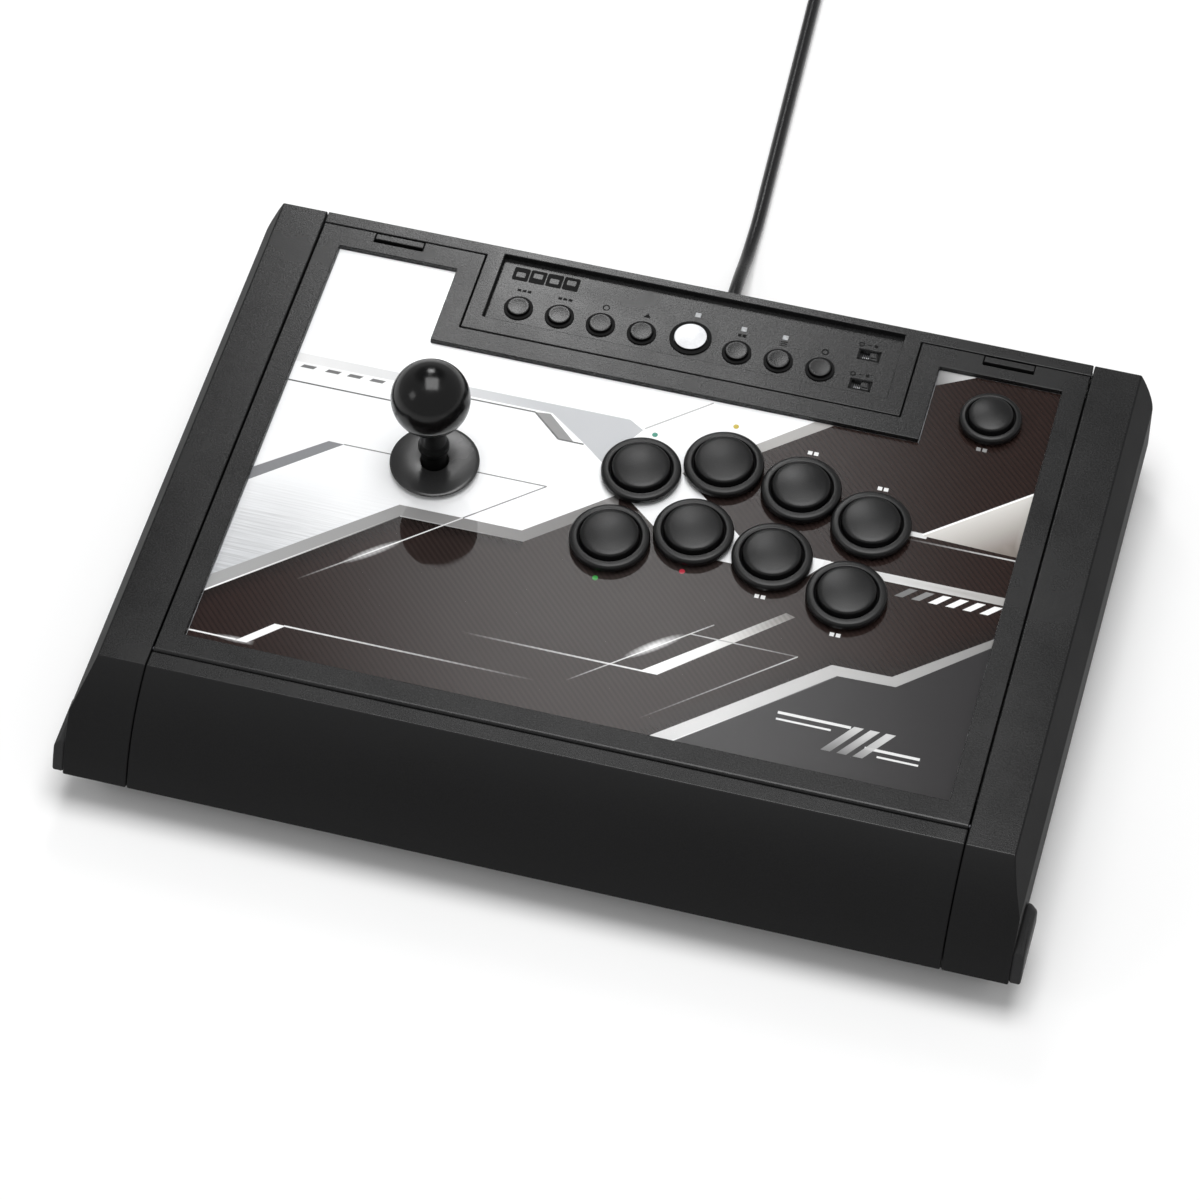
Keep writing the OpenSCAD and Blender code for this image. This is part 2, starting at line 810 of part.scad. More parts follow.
module dust_washer() {
  color("#1a1a1c") translate([stick[0], stick[1], cover_top + 0.3]) rotate_extrude()
    polygon([
      [6.3, 0], [dust_r - 0.3, 0], [dust_r, 0.3], [dust_r, 0.8], [dust_r - 0.5, 1.3], [6.3, 1.5]
    ]);
}

// ---- cord ----

module cable_gland() {
  color("#161617") translate([gland[0], 0, gland[2]]) rotate([-90, 0, 0]) rotate_extrude()
    polygon([
      [0, tray_rear - wall - 3], [6.4, tray_rear - wall - 3], [6.4, tray_rear - wall],
      [4.6, tray_rear - wall], [4.6, tray_rear], [6.6, tray_rear], [6.6, tray_rear + 2.5],
      [5.6, tray_rear + 3.5], [4, boot_end], [0, boot_end]
    ]);
}

function unit(v) = v / norm(v);
function heading(p, i) =
  unit(p[min(i + 1, len(p) - 1)] - p[max(i - 1, 0)]);
// A ring of sides points round p[i], square to the route
function ring(p, i, r, sides) =
  let (t = heading(p, i), u = unit(cross(t, [0, 0, 1])), w = cross(u, t))
  [for (j = [0:sides - 1]) let (a = (j + 0.5) * 360 / sides) p[i] + r * (cos(a) * u + sin(a) * w)];

// Skin through a list of rings, closed with a flat end at each side
module swept(rings, sides, flip = false) {
  n = len(rings);
  faces = concat(
    [[for (j = [0:sides - 1]) j]],
    [for (i = [0:n - 2], j = [0:sides - 1]) let (k = (j + 1) % sides)
      [i * sides + j, (i + 1) * sides + j, (i + 1) * sides + k, i * sides + k]],
    [[for (j = [0:sides - 1]) (n - 1) * sides + sides - 1 - j]]
  );
  turned = [for (f = faces) [for (k = [len(f) - 1:-1:0]) f[k]]];
  polyhedron(points = [for (g = rings) for (p = g) p], faces = flip ? turned : faces);
}

module usb_cord() {
  sides = 10;
  color("#111113") {
    swept([for (i = [0:len(cord_route) - 1]) ring(cord_route, i, cord_r, sides)], sides);
    swept([for (i = [0:len(plug_tail) - 1]) ring(plug_tail, i, cord_r, sides)], sides);
  }
}

module cord_coil() {
  c = 1.8;
  w = coil_half_w;
  color("#111113") translate([coil_centre[0], coil_centre[1], 0.1]) rotate_extrude($fn = 72)
    translate([coil_mid_r, 0])
      polygon([
        [-w + c, 0], [w - c, 0], [w, c], [w, coil_h - c], [w - c, coil_h], [-w + c, coil_h],
        [-w, coil_h - c], [-w, c]
      ]);
}

// Strap over the coil, its ends tucked in beside the lower turns
module cord_tie() {
  t = 1.2;
  near = -coil_half_w - 0.1;
  bow = coil_half_w + 1.7;
  color("#2a2a2d") translate([coil_centre[0], coil_centre[1] - coil_mid_r, 0]) difference() {
    box([-7, near - t, 0.2], [7, bow + t, coil_h + 0.2 + t]);
    box([-8, near, 0], [8, bow, coil_h + 0.2]);
  }
}

module usb_plug() {
  p = plug_tail[len(plug_tail) - 1];
  turn = atan2(p[1] - plug_tail[len(plug_tail) - 2][1], p[0] - plug_tail[len(plug_tail) - 2][0]);
  translate([p[0], p[1], p[2]]) rotate([0, 0, turn]) {
    color("#151517") {
      rotate([0, 90, 0]) cylinder(r1 = cord_r + 0.4, r2 = cord_r + 0.9, h = 12);
      box([12, -7.5, -4], [38, 7.5, 4]);
    }
    color("#c9ccd0") difference() {
      box([38, -6, -2.25], [56.5, 6, 2.25]);
      box([42, -5.6, -1.9], [57, 5.6, 1.9]);
    }
    color("#f2f2f0") box([42, -5.4, 0.2], [55.5, 5.4, 1.8]);
  }
}

base_tray();
end_cap_left();
end_cap_right();
front_cover();
rear_cover();
control_plate();
ballast_plate();
rubber_feet();
corner_bumpers();
hinge_pins();
main_board();
control_board();
status_leds();
case_screws();
cable_gland();
usb_cord();
cord_coil();
cord_tie();
usb_plug();
lid_frame();
clear_cover();
art_sheet();
panel_plate();
button_housings();
option_housing();
button_switches();
stick_mount_plate();
stick_housing();
stick_switches();
stick_gate();
lid_screws();
button(1);  // button_1
button(2);  // button_2
button(3);  // button_3
button(4);  // button_4
button(5);  // button_5
button(6);  // button_6
button(7);  // button_7
button(8);  // button_8
option_button();
small_button(1);  // small_button_1
small_button(2);  // small_button_2
small_button(3);  // small_button_3
small_button(4);  // small_button_4
small_button(5);  // small_button_5
small_button(6);  // small_button_6
small_button(7);  // small_button_7
home_button();
latch_left();
latch_right();
slide_knob(1);  // slide_knob_1
slide_knob(2);  // slide_knob_2
pivot_ring();
stick_shaft();
shaft_sleeve();
ball_top();
actuator();
stick_spring();
lower_washer();
dust_washer();
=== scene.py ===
import math

import bmesh
import bpy
from mathutils import Matrix, Vector, geometry


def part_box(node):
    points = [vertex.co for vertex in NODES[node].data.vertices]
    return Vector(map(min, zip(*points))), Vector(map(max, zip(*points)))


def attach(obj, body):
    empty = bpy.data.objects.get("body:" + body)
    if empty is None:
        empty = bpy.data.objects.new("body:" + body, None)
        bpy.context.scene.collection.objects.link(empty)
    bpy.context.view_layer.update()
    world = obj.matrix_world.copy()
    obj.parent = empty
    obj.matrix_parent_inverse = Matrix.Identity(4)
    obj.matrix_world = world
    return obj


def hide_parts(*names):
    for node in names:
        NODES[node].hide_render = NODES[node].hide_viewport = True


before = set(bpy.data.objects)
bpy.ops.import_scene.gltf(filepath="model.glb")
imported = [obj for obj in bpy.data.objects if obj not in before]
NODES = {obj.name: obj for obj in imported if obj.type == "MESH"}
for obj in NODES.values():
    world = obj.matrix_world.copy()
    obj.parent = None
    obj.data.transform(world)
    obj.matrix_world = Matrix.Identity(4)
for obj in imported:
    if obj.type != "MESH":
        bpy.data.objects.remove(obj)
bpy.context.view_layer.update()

MM = 0.001


def node_box(name):
    """Lowest and highest corner of a CAD node, in millimetres."""
    low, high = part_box(name)
    return low / MM, high / MM


def node_centre(name):
    low, high = node_box(name)
    return (low + high) / 2


# ---- levels and places, from the frame ----

TOP = node_box("lid_frame")[1].z
COVER_TOP = node_box("clear_cover")[1].z
KNOB_RISE = 0.9
STRIP = node_box("slide_knob_1")[1].z - KNOB_RISE
STICK = node_centre("ball_top").xy
ART_LOW, ART_HIGH = node_box("art_sheet")
BUTTONS = [f"button_{i}" for i in range(1, 9)] + ["option_button"]
SMALL = [f"small_button_{i}" for i in range(1, 8)]
KNOBS = ["slide_knob_1", "slide_knob_2"]


# ---- mesh helpers ----


def place(name, bm, *materials):
    """A new object from a bmesh whose coordinates are in millimetres."""
    mesh = bpy.data.meshes.new(name)
    bmesh.ops.transform(bm, matrix=Matrix.Scale(MM, 4), verts=bm.verts)
    bm.to_mesh(mesh)
    bm.free()
    for m in materials:
        mesh.materials.append(m)
    obj = bpy.data.objects.new(name, mesh)
    bpy.context.scene.collection.objects.link(obj)
    return obj


def settle(obj, body, slot, *nodes):
    """The piece rides on a body and stands for CAD nodes, which it hides; the slot is not used."""
    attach(obj, body)
    if nodes:
        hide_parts(*nodes)
    return obj


def smooth(obj, degrees=32):
    """Smooth shading, with edges sharper than the angle kept crisp."""
    for p in obj.data.polygons:
        p.use_smooth = True
    obj.data.set_sharp_from_angle(angle=math.radians(degrees))
    return obj


def piece(name, bm, look, body, slot, *nodes, sharp=32):
    """A smooth piece made from a bmesh, settled on its body."""
    return settle(smooth(place(name, bm, look), sharp), body, slot, *nodes)


def unit(value):
    """The value, kept within 0 to 1."""
    return min(1, max(0, value))


def ease(value):
    value = unit(value)
    return value * value * (3 - 2 * value)


def arc(cx, cy, r, start, end, steps):
    """Points along an arc, the angles in degrees."""
    turns = [math.radians(start + (end - start) * k / steps) for k in range(steps + 1)]
    return [(cx + r * math.cos(a), cy + r * math.sin(a)) for a in turns]


def hexagon(r, angle):
    """Distance from a hexagon's middle to its edge, r being the distance to a corner."""
    sixth = math.pi / 3
    return r * math.cos(sixth / 2) / math.cos(angle % sixth - sixth / 2)


def lathe(bm, profile, centre=(0, 0, 0), steps=96, closed=False):
    """Turns a profile of (radius, height) about the vertical line through centre.

    A point with a third value is a corner of a hexagon instead of a circle.
    """
    rings = []
    for r, z, *six in profile:
        if r < 1e-6:
            rings.append([bm.verts.new((centre[0], centre[1], centre[2] + z))])
            continue
        turn = [2 * math.pi * k / steps for k in range(steps)]
        reach = [hexagon(r, a) if six else r for a in turn]
        rings.append([
            bm.verts.new((centre[0] + d * math.cos(a), centre[1] + d * math.sin(a), centre[2] + z))
            for a, d in zip(turn, reach)
        ])
    pairs = list(zip(rings, rings[1:]))
    if closed:
        pairs.append((rings[-1], rings[0]))
    for a, b in pairs:
        for k in range(steps):
            n = (k + 1) % steps
            loop = [a[k % len(a)], a[n % len(a)], b[n % len(b)], b[k % len(b)]]
            loop = [v for i, v in enumerate(loop) if v not in loop[:i]]
            if len(loop) > 2:
                bm.faces.new(loop)
    bmesh.ops.recalc_face_normals(bm, faces=bm.faces)
    return bm


def prism(bm, outline, low, high):
    """A closed slab with this outline between two heights."""
    base = [bm.verts.new((x, y, low)) for x, y in outline]
    face = bm.faces.new(base)
    made = bmesh.ops.extrude_face_region(bm, geom=[face])["geom"]
    for v in made:
        if isinstance(v, bmesh.types.BMVert):
            v.co.z = high
    bmesh.ops.recalc_face_normals(bm, faces=bm.faces)


def merge(bm, other):
    """Adds another bmesh's geometry to bm."""
    mesh = bpy.data.meshes.new("part")
    other.to_mesh(mesh)
    other.free()
    bm.from_mesh(mesh)
    bpy.data.meshes.remove(mesh)


def rounded_block(bm, low, high, radius, segments=3):
    """A block with rounded edges between two corners."""
    low, high = Vector(low), Vector(high)
    block = bmesh.new()
    bmesh.ops.create_cube(block, size=1)
    size = high - low
    for v in block.verts:
        v.co = Vector(v.co[k] * size[k] for k in range(3)) + (low + high) / 2
    bmesh.ops.bevel(
        block, geom=block.edges[:], offset=min(radius, min(size) * 0.49), segments=segments,
        profile=0.5, affect="EDGES",
    )
    merge(bm, block)


def rounded_loop(x0, x1, y0, y1, radius, steps=6):
    """A rounded rectangle's outline."""
    corners = ((x1, y1, 0), (x0, y1, 90), (x0, y0, 180), (x1, y0, 270))
    loop = []
    for x, y, start in corners:
        inset_x = -radius if x == x1 else radius
        inset_y = -radius if y == y1 else radius
        loop += arc(x + inset_x, y + inset_y, radius, start, start + 90, steps)
    return loop


def sleeve(bm, outer, inner, x0, x1):
    """An open tube along X between two outlines, such as a plug's shell or a strap."""
    rings = [[bm.verts.new((x, *at)) for at in loop] for loop in (outer, inner) for x in (x0, x1)]
    for a, b in ((0, 1), (3, 2), (2, 0), (1, 3)):
        for k in range(len(outer)):
            n = (k + 1) % len(outer)
            bm.faces.new((rings[a][k], rings[a][n], rings[b][n], rings[b][k]))
    bmesh.ops.recalc_face_normals(bm, faces=bm.faces)
    return bm


def refine(node, width, segments, degrees):
    """A detailed copy of a CAD node: its edges are rounded as a moulding's are, or left as cut."""
    obj = bpy.data.objects.new(node + "_moulding", NODES[node].data.copy())
    bpy.context.scene.collection.objects.link(obj)
    obj.data.materials.clear()
    if "custom_normal" in obj.data.attributes:
        obj.data.attributes.remove(obj.data.attributes["custom_normal"])
    bm = bmesh.new()
    bm.from_mesh(obj.data)
    bmesh.ops.remove_doubles(bm, verts=bm.verts, dist=1e-6)
    if width:
        bmesh.ops.dissolve_limit(bm, angle_limit=math.radians(0.8), verts=bm.verts, edges=bm.edges)
        halves = bm.verts[:] + bm.edges[:] + bm.faces[:]
        middle = node_centre(node) * MM
        bmesh.ops.bisect_plane(bm, geom=halves, dist=1e-7, plane_co=middle, plane_no=(1, 0, 0))
    bm.to_mesh(obj.data)
    bm.free()
    if width:
        bevel = obj.modifiers.new("rounded", "BEVEL")
        bevel.width = width * MM
        bevel.segments = segments
        bevel.limit_method = "ANGLE"
        bevel.angle_limit = math.radians(degrees)
        bevel.miter_outer = "MITER_ARC"
        bevel.use_clamp_overlap = False
        bevel.loop_slide = False
        smooth(obj)
        obj.modifiers.new("even_shading", "WEIGHTED_NORMAL").keep_sharp = True
        graph = bpy.context.evaluated_depsgraph_get()
        baked = bpy.data.meshes.new_from_object(obj.evaluated_get(graph), depsgraph=graph)
        obj.modifiers.clear()
        obj.data = baked
        return obj
    return smooth(obj)


def islands(node):
    """Lowest and highest corner of each separate solid in a CAD node, in millimetres."""
    bm = bmesh.new()
    bm.from_mesh(NODES[node].data)
    bmesh.ops.remove_doubles(bm, verts=bm.verts, dist=1e-6)
    left, found = set(bm.verts), []
    while left:
        stack, group = [left.pop()], []
        while stack:
            v = stack.pop()
            group.append(v.co / MM)
            for edge in v.link_edges:
                other = edge.other_vert(v)
                if other in left:
                    left.remove(other)
                    stack.append(other)
        found.append((Vector(map(min, zip(*group))), Vector(map(max, zip(*group)))))
    bm.free()
    return sorted(found, key=lambda box: tuple(box[0]))


# ---- materials: each is made of nodes, at the real scale ----


class Nodes:
    """A small helper that adds and links the nodes of one tree."""

    def __init__(self, tree):
        self.tree = tree

    def add(self, kind, **values):
        node = self.tree.nodes.new("ShaderNode" + kind)
        for key, value in values.items():
            if hasattr(node, key):
                setattr(node, key, value)
            else:
                node.inputs[key.replace("_", " ")].default_value = value
        return node

    def link(self, a, b):
        self.tree.links.new(a, b)

    def feed(self, socket, value):
        """Links a value that comes from a node, and sets a plain one."""
        if hasattr(value, "node"):
            self.link(value, socket)
        else:
            socket.default_value = value

    def math(self, kind, *values):
        node = self.add("Math", operation=kind)
        for socket, value in zip(node.inputs, values):
            self.feed(socket, value)
        return node.outputs["Value"]

    def dot(self, a, b):
        node = self.add("VectorMath", operation="DOT_PRODUCT")
        self.feed(node.inputs[0], a)
        self.feed(node.inputs[1], b)
        return node.outputs["Value"]

    def span(self, value, low, high, start=0.3, stop=0.7):
        """The value from start to stop, spread over low to high."""
        node = self.add("MapRange", From_Min=start, From_Max=stop, To_Min=low, To_Max=high)
        self.link(value, node.inputs["Value"])
        return node.outputs["Result"]


class Ink(Nodes):
    """The nodes of one new material."""

    def __init__(self, name):
        self.material = bpy.data.materials.new(name)
        self.material.use_nodes = True
        super().__init__(self.material.node_tree)
        self.shader = self.tree.nodes["Principled BSDF"]

    def place(self):
        if not hasattr(self, "where"):
            self.where = self.add("TexCoord").outputs["Object"]
        return self.where

    def stretched(self, scale):
        """The object's own coordinates, stretched along its axes."""
        mapping = self.add("Mapping")
        mapping.inputs["Scale"].default_value = scale
        self.link(self.place(), mapping.inputs["Vector"])
        return mapping.outputs["Vector"]

    def noise(self, size, detail=3.0, roughness=0.55, scale=None):
        """Noise whose lumps are about size millimetres across."""
        node = self.add("TexNoise", Detail=detail, Roughness=roughness, Scale=1 / (size * MM))
        self.link(self.stretched(scale) if scale else self.place(), node.inputs["Vector"])
        return node.outputs["Fac"]

    def mix(self, share, a, b, blend="MIX"):
        """Colour a blended with colour b as share goes from 0 to 1."""
        node = self.add("Mix", data_type="RGBA", blend_type=blend)
        self.feed(node.inputs["Factor"], share)
        for socket, value in zip(node.inputs[6:8], (a, b)):
            self.feed(socket, value if hasattr(value, "node") else (*value, 1))
        return node.outputs[2]

    def bump(self, height, depth, strength=1.0):
        """Relief of depth millimetres."""
        node = self.add("Bump", Strength=strength, Distance=depth * MM)
        self.link(height, node.inputs["Height"])
        self.link(node.outputs["Normal"], self.shader.inputs["Normal"])

    def set(self, **values):
        for key, value in values.items():
            self.shader.inputs[key.replace("_", " ")].default_value = value

    def colour(self, socket):
        self.link(socket, self.shader.inputs["Base Color"])

    def roughness(self, socket):
        self.link(socket, self.shader.inputs["Roughness"])


def times(colour, k):
    return tuple(c * k for c in colour)


def moulding(name, colour, rough, grain=0.35, relief=0.03, specular=0.5, contrast=0.35):
    """Moulded plastic: a fine spark-eroded grain and a slow cloud of tone."""
    ink = Ink(name)
    fine, cloud = ink.noise(grain, 2.0, 0.6), ink.noise(38, 3.0)
    tone = ink.mix(ink.span(fine, 0, 1), times(colour, 1 - contrast), times(colour, 1 + contrast))
    ink.colour(ink.mix(ink.span(cloud, 0, 0.16), tone, times(colour, 1.6)))
    ink.roughness(ink.span(cloud, rough - 0.04, rough + 0.04))
    ink.bump(fine, relief)
    ink.set(Specular_IOR_Level=specular)
    return ink.material


def polished(name, colour, rough=0.08, specular=0.5):
    """Polished resin with faint swirls from handling."""
    ink = Ink(name)
    swirl = ink.noise(9, 4.0, 0.7)
    ink.colour(ink.mix(ink.span(swirl, 0, 1), times(colour, 0.8), colour))
    ink.roughness(ink.span(ink.noise(2.5, 5.0, 0.75), rough * 0.7, rough * 1.6))
    ink.bump(ink.noise(22, 1.0), 0.01, 0.3)
    ink.set(Specular_IOR_Level=specular)
    return ink.material


def metal(name, colour, rough, streak=(1, 1, 1), grain=0.25, relief=0.006):
    """Plated or rolled metal, its grain drawn out along one axis."""
    ink = Ink(name)
    lines = ink.noise(grain, 3.0, 0.6, streak)
    cloud = ink.noise(14, 4.0)
    ink.colour(ink.mix(ink.span(lines, 0, 1), times(colour, 0.82), colour))
    both = ink.math("ADD", ink.math("MULTIPLY", lines, 0.5), ink.math("MULTIPLY", cloud, 0.5))
    ink.roughness(ink.span(both, rough - 0.08, rough + 0.1))
    ink.bump(lines, relief)
    ink.set(Metallic=1.0)
    return ink.material


def soft_rubber(name, colour, rough=0.72):
    ink = Ink(name)
    pores = ink.noise(0.5, 3.0, 0.7)
    dust = ink.noise(11, 4.0, 0.6)
    ink.colour(ink.mix(ink.span(dust, 0, 0.35), colour, times(colour, 2.6)))
    ink.roughness(ink.span(pores, rough - 0.06, rough + 0.08))
    ink.bump(pores, 0.03)
    ink.set(Specular_IOR_Level=0.35, Sheen_Weight=0.08)
    return ink.material


def circuit_board(name):
    """Green solder mask over copper tracks that run square to the board's edges."""
    ink = Ink(name)
    across = ink.add("TexBrick", Scale=1 / (9 * MM), Mortar_Size=0.05)
    ink.link(ink.place(), across.inputs["Vector"])
    spots = ink.add("TexVoronoi", Scale=1 / (5 * MM))
    ink.link(ink.place(), spots.inputs["Vector"])
    tracks = ink.mix(across.outputs["Fac"], (0.008, 0.075, 0.03), (0.02, 0.16, 0.06))
    pads = ink.span(spots.outputs["Distance"], 1, 0, 0.08, 0.12)
    ink.colour(ink.mix(pads, tracks, (0.45, 0.4, 0.28)))
    ink.roughness(ink.span(ink.noise(3), 0.28, 0.4))
    ink.bump(across.outputs["Fac"], 0.02)
    return ink.material


def clear_acrylic(name):
    """Polished clear sheet that lets nearly all light straight through.

    The film is bonded to it, and the gloss of the pair is the film's coat, so the sheet itself
    neither mirrors nor bends light to speak of.
    """
    ink = Ink(name)
    ink.set(Transmission_Weight=1.0, IOR=1.02, Base_Color=(0.985, 0.985, 0.985, 1), Alpha=0.02)
    ink.roughness(ink.span(ink.noise(6, 5.0, 0.7), 0.015, 0.035, 0.35, 0.75))
    return ink.material


def printed_art(name):
    """The printed film: its inks are in the mesh, with a woven or a brushed look over them."""
    ink = Ink(name)
    tint = ink.add("VertexColor", layer_name="ink").outputs["Color"]
    weave = ink.add("Attribute", attribute_name="weave").outputs["Fac"]
    brush = ink.add("Attribute", attribute_name="brush").outputs["Fac"]
    axes = ink.add("SeparateXYZ")
    ink.link(ink.place(), axes.inputs[0])
    x, y = axes.outputs[0], axes.outputs[1]
    twill, tow = 3.1 * MM, 0.78 * MM
    slant = ink.math("SINE", ink.math("MULTIPLY", ink.math("ADD", x, y), 2 * math.pi / twill))
    ridge = ink.math("SINE", ink.math("MULTIPLY", x, 2 * math.pi / tow))
    both = ink.math("ADD", slant, ink.math("MULTIPLY", ridge, 0.12))
    cloth = ink.span(both, 0.78, 1.2, -1.12, 1.12)
    streaks = ink.span(ink.noise(0.9, 4.0, 0.7, (0.02, 1, 1)), 0.72, 1.12, 0.3, 0.75)
    shade = ink.mix(1, tint, ink.mix(weave, (1, 1, 1), cloth), "MULTIPLY")
    ink.colour(ink.mix(1, shade, ink.mix(brush, (1, 1, 1), streaks), "MULTIPLY"))
    ink.roughness(ink.span(ink.noise(1.2), 0.42, 0.55))
    ink.set(Specular_IOR_Level=0.0, Coat_Weight=1.0, Coat_Roughness=0.03, Coat_IOR=1.47)
    return ink.material


def lit_window(name):
    """A light guide of smoky plastic, its lamp off."""
    ink = Ink(name)
    cloud = ink.noise(1.4)
    ink.colour(ink.mix(ink.span(cloud, 0, 1), (0.3, 0.31, 0.32), (0.46, 0.47, 0.48)))
    ink.roughness(ink.span(cloud, 0.25, 0.4))
    ink.set(Specular_IOR_Level=0.3)
    return ink.material


def woven_strap(name):
    ink = Ink(name)
    waves = ink.add("TexWave", Scale=1 / (1.6 * MM), Distortion=0.4)
    waves.bands_direction = "DIAGONAL"
    ink.link(ink.place(), waves.inputs["Vector"])
    loops = ink.noise(0.4, 2.0)
    ink.colour(ink.mix(ink.span(loops, 0, 1), (0.008, 0.008, 0.009), (0.045, 0.045, 0.05)))
    ink.roughness(ink.span(loops, 0.8, 0.95))
    both = ink.math("ADD", waves.outputs["Fac"], loops)
    ink.bump(both, 0.15)
    ink.set(Sheen_Weight=0.3, Specular_IOR_Level=0.2)
    return ink.material


CASE = moulding("case_grain", (0.0095, 0.0095, 0.0097), 0.25, 0.7, 0.035, 0.33, 0.5)
SMOOTH_FRONT = moulding("front_satin", (0.0095, 0.0095, 0.0098), 0.6, 0.6, 0.01, 0.12, 0.15)
TRAY = moulding("tray_grain", (0.012, 0.012, 0.0125), 0.62, 0.5, 0.04, 0.3)
BLACK = moulding("strip_black", (0.0028, 0.0028, 0.0029), 0.55, 0.4, 0.01, 0.12)
GREY_CAP = moulding("cap_grey", (0.018, 0.018, 0.0185), 0.33, 0.3, 0.015, 0.45, 0.3)
BUTTON = moulding("button_satin", (0.0052, 0.0052, 0.0054), 0.34, 0.6, 0.05, 0.34, 0.4)
WASHER = moulding("washer_satin", (0.028, 0.028, 0.0284), 0.26, 0.4, 0.01, 0.5, 0.2)
SLEEVE = moulding("sleeve_black", (0.0022, 0.0022, 0.0023), 0.4, 0.5, 0.006, 0.12)
SWITCH = moulding("switch_black", (0.011, 0.011, 0.012), 0.4, 0.5, 0.01)
NYLON = moulding("white_nylon", (0.66, 0.64, 0.58), 0.45, 0.8, 0.02, 0.4, 0.06)
CONNECTOR = moulding("connector_white", (0.6, 0.59, 0.55), 0.5, 0.6, 0.02, 0.4, 0.08)
PLUG = moulding("plug_satin", (0.010, 0.010, 0.011), 0.48, 0.5, 0.02)
GLOSS = polished("gloss_black", (0.0025, 0.0025, 0.0026), 0.16, specular=0.34)
HOME = polished("gloss_white", (0.82, 0.83, 0.85), 0.2)
STEEL = metal("rolled_steel", (0.58, 0.59, 0.61), 0.36, (0.04, 1, 1))
ZINC = metal("zinc_plate", (0.62, 0.63, 0.65), 0.3)
DARK_SCREW = metal("black_screw", (0.05, 0.05, 0.055), 0.38)
BRASS = metal("switch_terminal", (0.72, 0.56, 0.3), 0.32)
RUBBER = soft_rubber("black_rubber", (0.008, 0.008, 0.0085))
CORD = soft_rubber("cord_sheath", (0.0055, 0.0055, 0.006), 0.3)
BOARD = circuit_board("solder_mask")
CLEAR = clear_acrylic("clear_acrylic")
ART = printed_art("printed_film")
LAMP = lit_window("light_guide")
STRAP = woven_strap("hook_strap")


# ---- the free cord, its coil and plug ----

CORD_D = 6.2
EXIT = (4, 180, 13)
ROUTE = [
    EXIT, (4, 190, 13), (3.5, 202, 10.4), (3, 216, 6.2), (2.5, 230, 3.9), (2, 246, 3.2),
    *[(1 - k, 264 + 18 * k, 3.2) for k in range(9)],
    (-8, 424, 3.2), (-8.7, 440, 3.2), (-8.8, 456, 3.2),
]
TAIL = [
    (-60, 507.5, 9.4), (-72, 507.5, 9.3), (-84, 507.2, 7.6), (-96, 506.2, 5.2),
    (-108, 504.6, 4), (-120, 503, 4),
]
COIL_MID = 36
COIL_COLUMNS = 6
COIL_OUTER = COIL_MID + (COIL_COLUMNS - 1) / 2 * CORD_D
COIL_CENTRE = Vector((ROUTE[-1][0] - COIL_OUTER, ROUTE[-1][1]))
COIL_FLOOR = 0.1
COIL_TURNS = 11.25
TURN_POINTS = 24


def coil_slot(turn):
    """Column and layer of one turn: the lower layer runs inwards and the upper one outwards."""
    layer, across = divmod(turn, COIL_COLUMNS)
    return (across if layer % 2 else COIL_COLUMNS - 1 - across), layer


def coil_points():
    """From the coil's right-hand side round and round to its rear, each turn beside the last."""
    points = []
    for k in range(1, round(COIL_TURNS * TURN_POINTS)):
        turn, part = divmod(k / TURN_POINTS, 1)
        here, after = coil_slot(int(turn)), coil_slot(int(turn) + 1)
        column = here[0] + (after[0] - here[0]) * ease((part - 0.8) / 0.2)
        layer = here[1] + (after[1] - here[1]) * ease((part - 0.5) / 0.28)
        radius = COIL_OUTER + (column - COIL_COLUMNS + 1) * CORD_D
        angle = 2 * math.pi * part
        points.append((
            COIL_CENTRE.x + radius * math.cos(angle),
            COIL_CENTRE.y + radius * math.sin(angle),
            COIL_FLOOR + CORD_D * (layer + 0.5),
        ))
    return points


def cord_curve(name, points, diameter, material):
    curve = bpy.data.curves.new(name, "CURVE")
    curve.dimensions = "3D"
    curve.bevel_depth = diameter / 2 * MM
    curve.bevel_resolution = 5
    curve.resolution_u = 4
    curve.use_fill_caps = True
    spline = curve.splines.new("BEZIER")
    spline.bezier_points.add(len(points) - 1)
    for knot, p in zip(spline.bezier_points, points):
        knot.co = Vector(p) * MM
        knot.handle_left_type = knot.handle_right_type = "AUTO"
    curve.materials.append(material)
    obj = bpy.data.objects.new(name, curve)
    bpy.context.scene.collection.objects.link(obj)
    return obj


def strain_relief():
    """Ribbed boot that tapers along the cord, and the flange that seats on the tray's rear wall."""
    low, high = node_box("cable_gland")
    face, end = node_box("base_tray")[1].y, high.y
    profile = [(0, low.y), (6.2, low.y), (6.4, low.y + 0.2), (6.4, low.y + 3), (4.6, low.y + 3)]
    profile += [(4.6, face), (6.5, face), (6.6, face + 0.3), (6.6, face + 2), (6.1, face + 2.5)]
    ribs = 7
    start = face + 4
    pitch = (end - 2 - start) / ribs
    for k in range(ribs):
        y = start + k * pitch
        r = 5.5 - 1.3 * k / ribs
        profile += [(r - 0.75, y), (r - 0.7, y + 0.25 * pitch), (r, y + 0.4 * pitch)]
        profile += [(r, y + 0.85 * pitch), (r - 0.7, y + pitch)]
    profile += [(4.0, end - 1.6), (3.9, end - 0.4), (3.5, end), (0, end)]
    bm = lathe(bmesh.new(), profile, steps=48)
    turn = Matrix.Translation((EXIT[0], 0, EXIT[2])) @ Matrix.Rotation(math.radians(-90), 4, "X")
    bmesh.ops.transform(bm, matrix=turn, verts=bm.verts)
    return piece("cord_strain_relief", bm, CORD, "base", "cord_sheath", "cable_gland")


